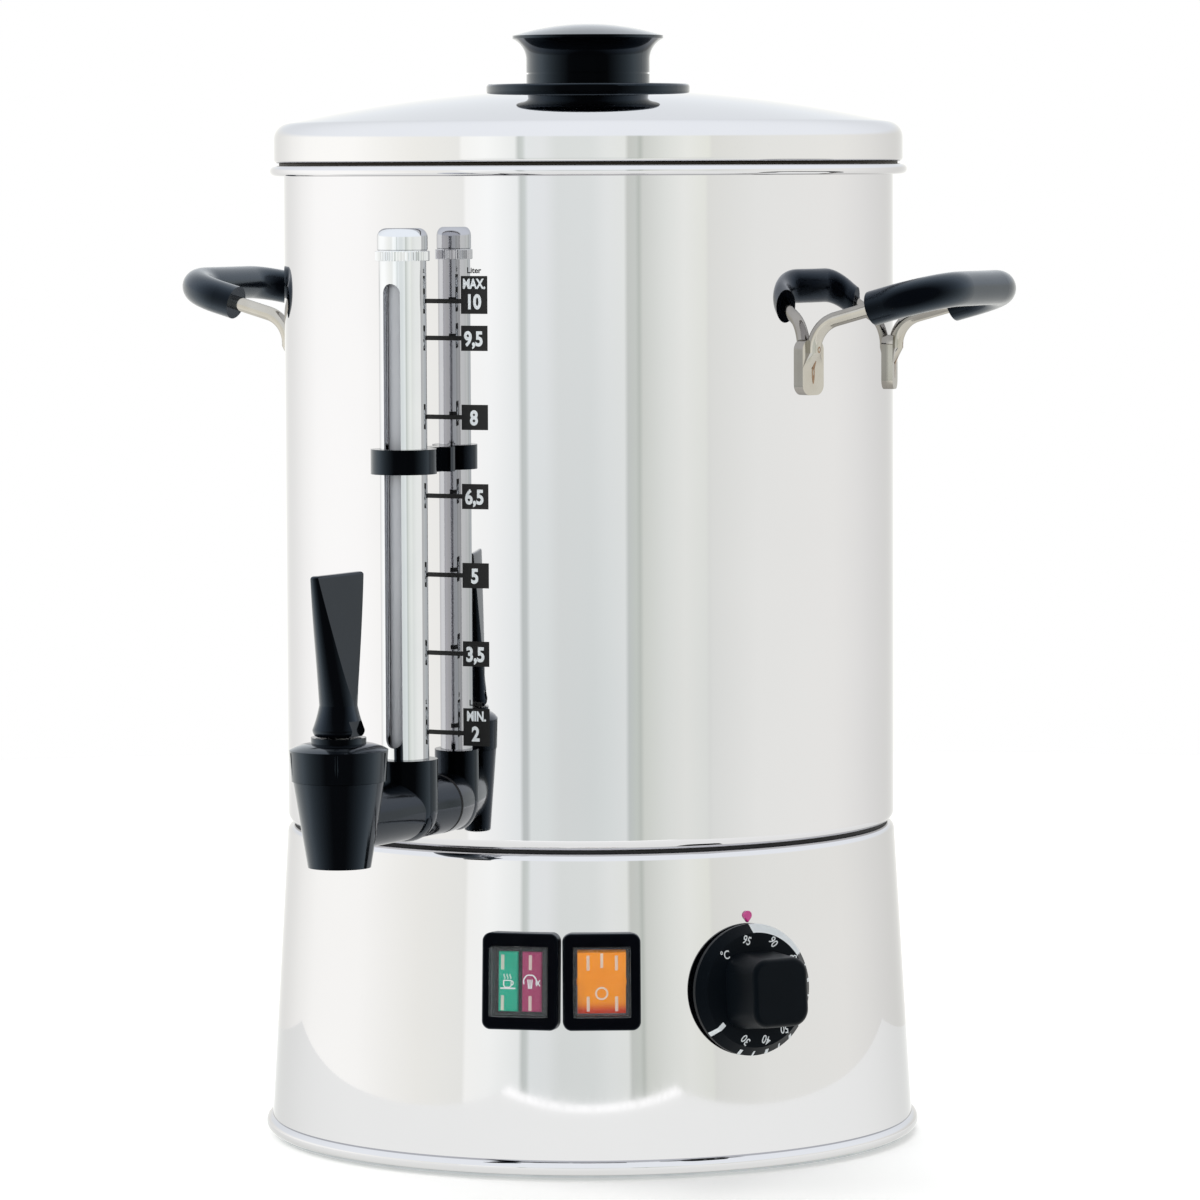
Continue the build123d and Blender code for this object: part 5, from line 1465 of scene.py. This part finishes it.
    def laminate(self) -> bpy.types.Material:
        """White laminate, pressed smooth: an even pale face that glows instead of being lit, with a painted
        highlight where its front edge is rounded.

        Returns:
            The table top's material.
        """
        material = bpy.data.materials.new("white_laminate_table")
        material.use_nodes = True
        tree = material.node_tree
        place = add_node(tree, "ShaderNodeTexCoord").outputs["Object"]
        along = add_node(tree, "ShaderNodeSeparateXYZ", {0: place}).outputs["Y"]
        start, full = (share * self.table_rim - self.table_front for share in (1.0, self.rim_fade))
        # painted highlight along the front edge, on a face that glows instead of being lit
        highlight_share = mapped(tree, along, (start, full))
        colour = mixed(tree, highlight_share, linear(self.table_face), linear(self.table_edge))
        shader = tree.nodes["Principled BSDF"]
        shader.inputs["Roughness"].default_value = self.table_roughness
        shader.inputs["Emission Strength"].default_value = self.polish_level
        shader.inputs["Base Color"].default_value = linear("#000000")
        tree.links.new(colour, shader.inputs["Emission Color"])
        return material

    def table(self) -> None:
        """Lays the glowing table top that polish shows near the foot, with a painted highlight on its front edge.
        """
        half, front, back = self.table_half, -self.table_front, self.table_back
        corners = [(-half, front, 0), (half, front, 0), (half, back, 0), (-half, back, 0)]
        data = bpy.data.meshes.new("table_top")
        data.from_pydata(corners, [], [(0, 1, 2, 3)])
        data.materials.append(self.laminate())
        table = add_object("table_top", data)
        table.location.z = -self.table_drop
        table.rotation_euler.z = radians(self.table_turn)
        for rays in ("camera", "diffuse", "shadow", "transmission"):
            setattr(table, f"visible_{rays}", False)

    def floor(self) -> None:
        """Lays a round pale floor whose colour meets the white behind it and keeps the shadow."""
        disc = bmesh.new()
        bmesh.ops.create_circle(disc, cap_ends=True, segments=self.floor_steps, radius=self.floor_radius)
        data = bpy.data.meshes.new("studio_floor")
        disc.to_mesh(data)
        disc.free()
        material = Stock.FLOOR.material
        tree = material.node_tree
        rays = add_node(tree, "ShaderNodeLightPath").outputs
        shader = tree.nodes["Principled BSDF"]
        shader.inputs["Emission Color"].default_value = linear(WHITE)
        lift = calculated(tree, "MULTIPLY", rays["Is Camera Ray"], self.floor_lift)
        tree.links.new(lift, shader.inputs["Emission Strength"])
        data.materials.append(material)
        floor = add_object("studio_floor", data)
        floor.visible_glossy = False

    def lamp(
        self, name: str, azimuth: float, distance: float, height: float, size: Pair, watts: float
    ) -> None:
        """Hangs one soft lamp that faces the urn's middle.

        Args:
            name: Its name.
            azimuth: Where it stands, in degrees from the tap.
            distance: How far from the urn's axis, in metres.
            height: How high, in metres.
            size: Its width and height, in metres.
            watts: Its power.
        """
        light = bpy.data.lights.new(name, "AREA")
        light.shape = "RECTANGLE"
        light.size, light.size_y = size
        light.energy = watts
        lamp = add_object(name, light)
        lamp.location = outward(azimuth) * distance + Vector((0, 0, height))
        aim = Vector((0, 0, self.aim)) - lamp.location
        lamp.rotation_euler = aim.to_track_quat("-Z", "Y").to_euler()
        lamp.visible_camera = False
        lamp.visible_glossy = False


@dataclass
class Eye:
    """The camera: where it stands, where it looks and its lens."""

    azimuth: float = 29.3
    distance: float = 2.46348
    height: float = 0.39794
    tilt: float = 4.146  # degrees down
    pan: float = 0.094  # degrees to the right
    roll: float = -0.2356
    focal_mm: float = 179.63
    sensor_mm: float = 36.0

    def build(self) -> None:
        """Makes the camera and looks through it."""
        data = bpy.data.cameras.new("eye")
        data.lens = self.focal_mm
        data.sensor_width = self.sensor_mm
        camera = add_object("eye", data)
        heading = radians(self.azimuth - self.pan)
        down, roll = radians(self.tilt), radians(self.roll)
        ahead = Vector((-sin(heading) * cos(down), cos(heading) * cos(down), -sin(down)))
        level = Vector((cos(heading), sin(heading), 0))
        above = level.cross(ahead)
        right = level * cos(roll) + above * sin(roll)
        up = above * cos(roll) - level * sin(roll)
        turn = Matrix((right, up, -ahead)).transposed().to_4x4()
        place = outward(self.azimuth) * self.distance + Vector((0, 0, self.height))
        camera.matrix_world = Matrix.Translation(place) @ turn
        bpy.context.scene.camera = camera


def main() -> None:
    """Dresses the solids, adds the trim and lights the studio."""
    logging.basicConfig(level=logging.INFO, format="%(name)s %(message)s")
    CadParts().dress()
    turned = (VesselShell, LidShell, BaseShell, GaugeCap)
    details = (ValveSpring, WeldMarks, LitreScale, DialPrint, SwitchPanel)
    for assembly in (*turned, *details, Studio, Eye):
        assembly().build()
        LOG.info("%s: built", assembly.__name__)
    bpy.context.scene.view_settings.view_transform = "Standard"


if __name__ == "__main__":
    main()
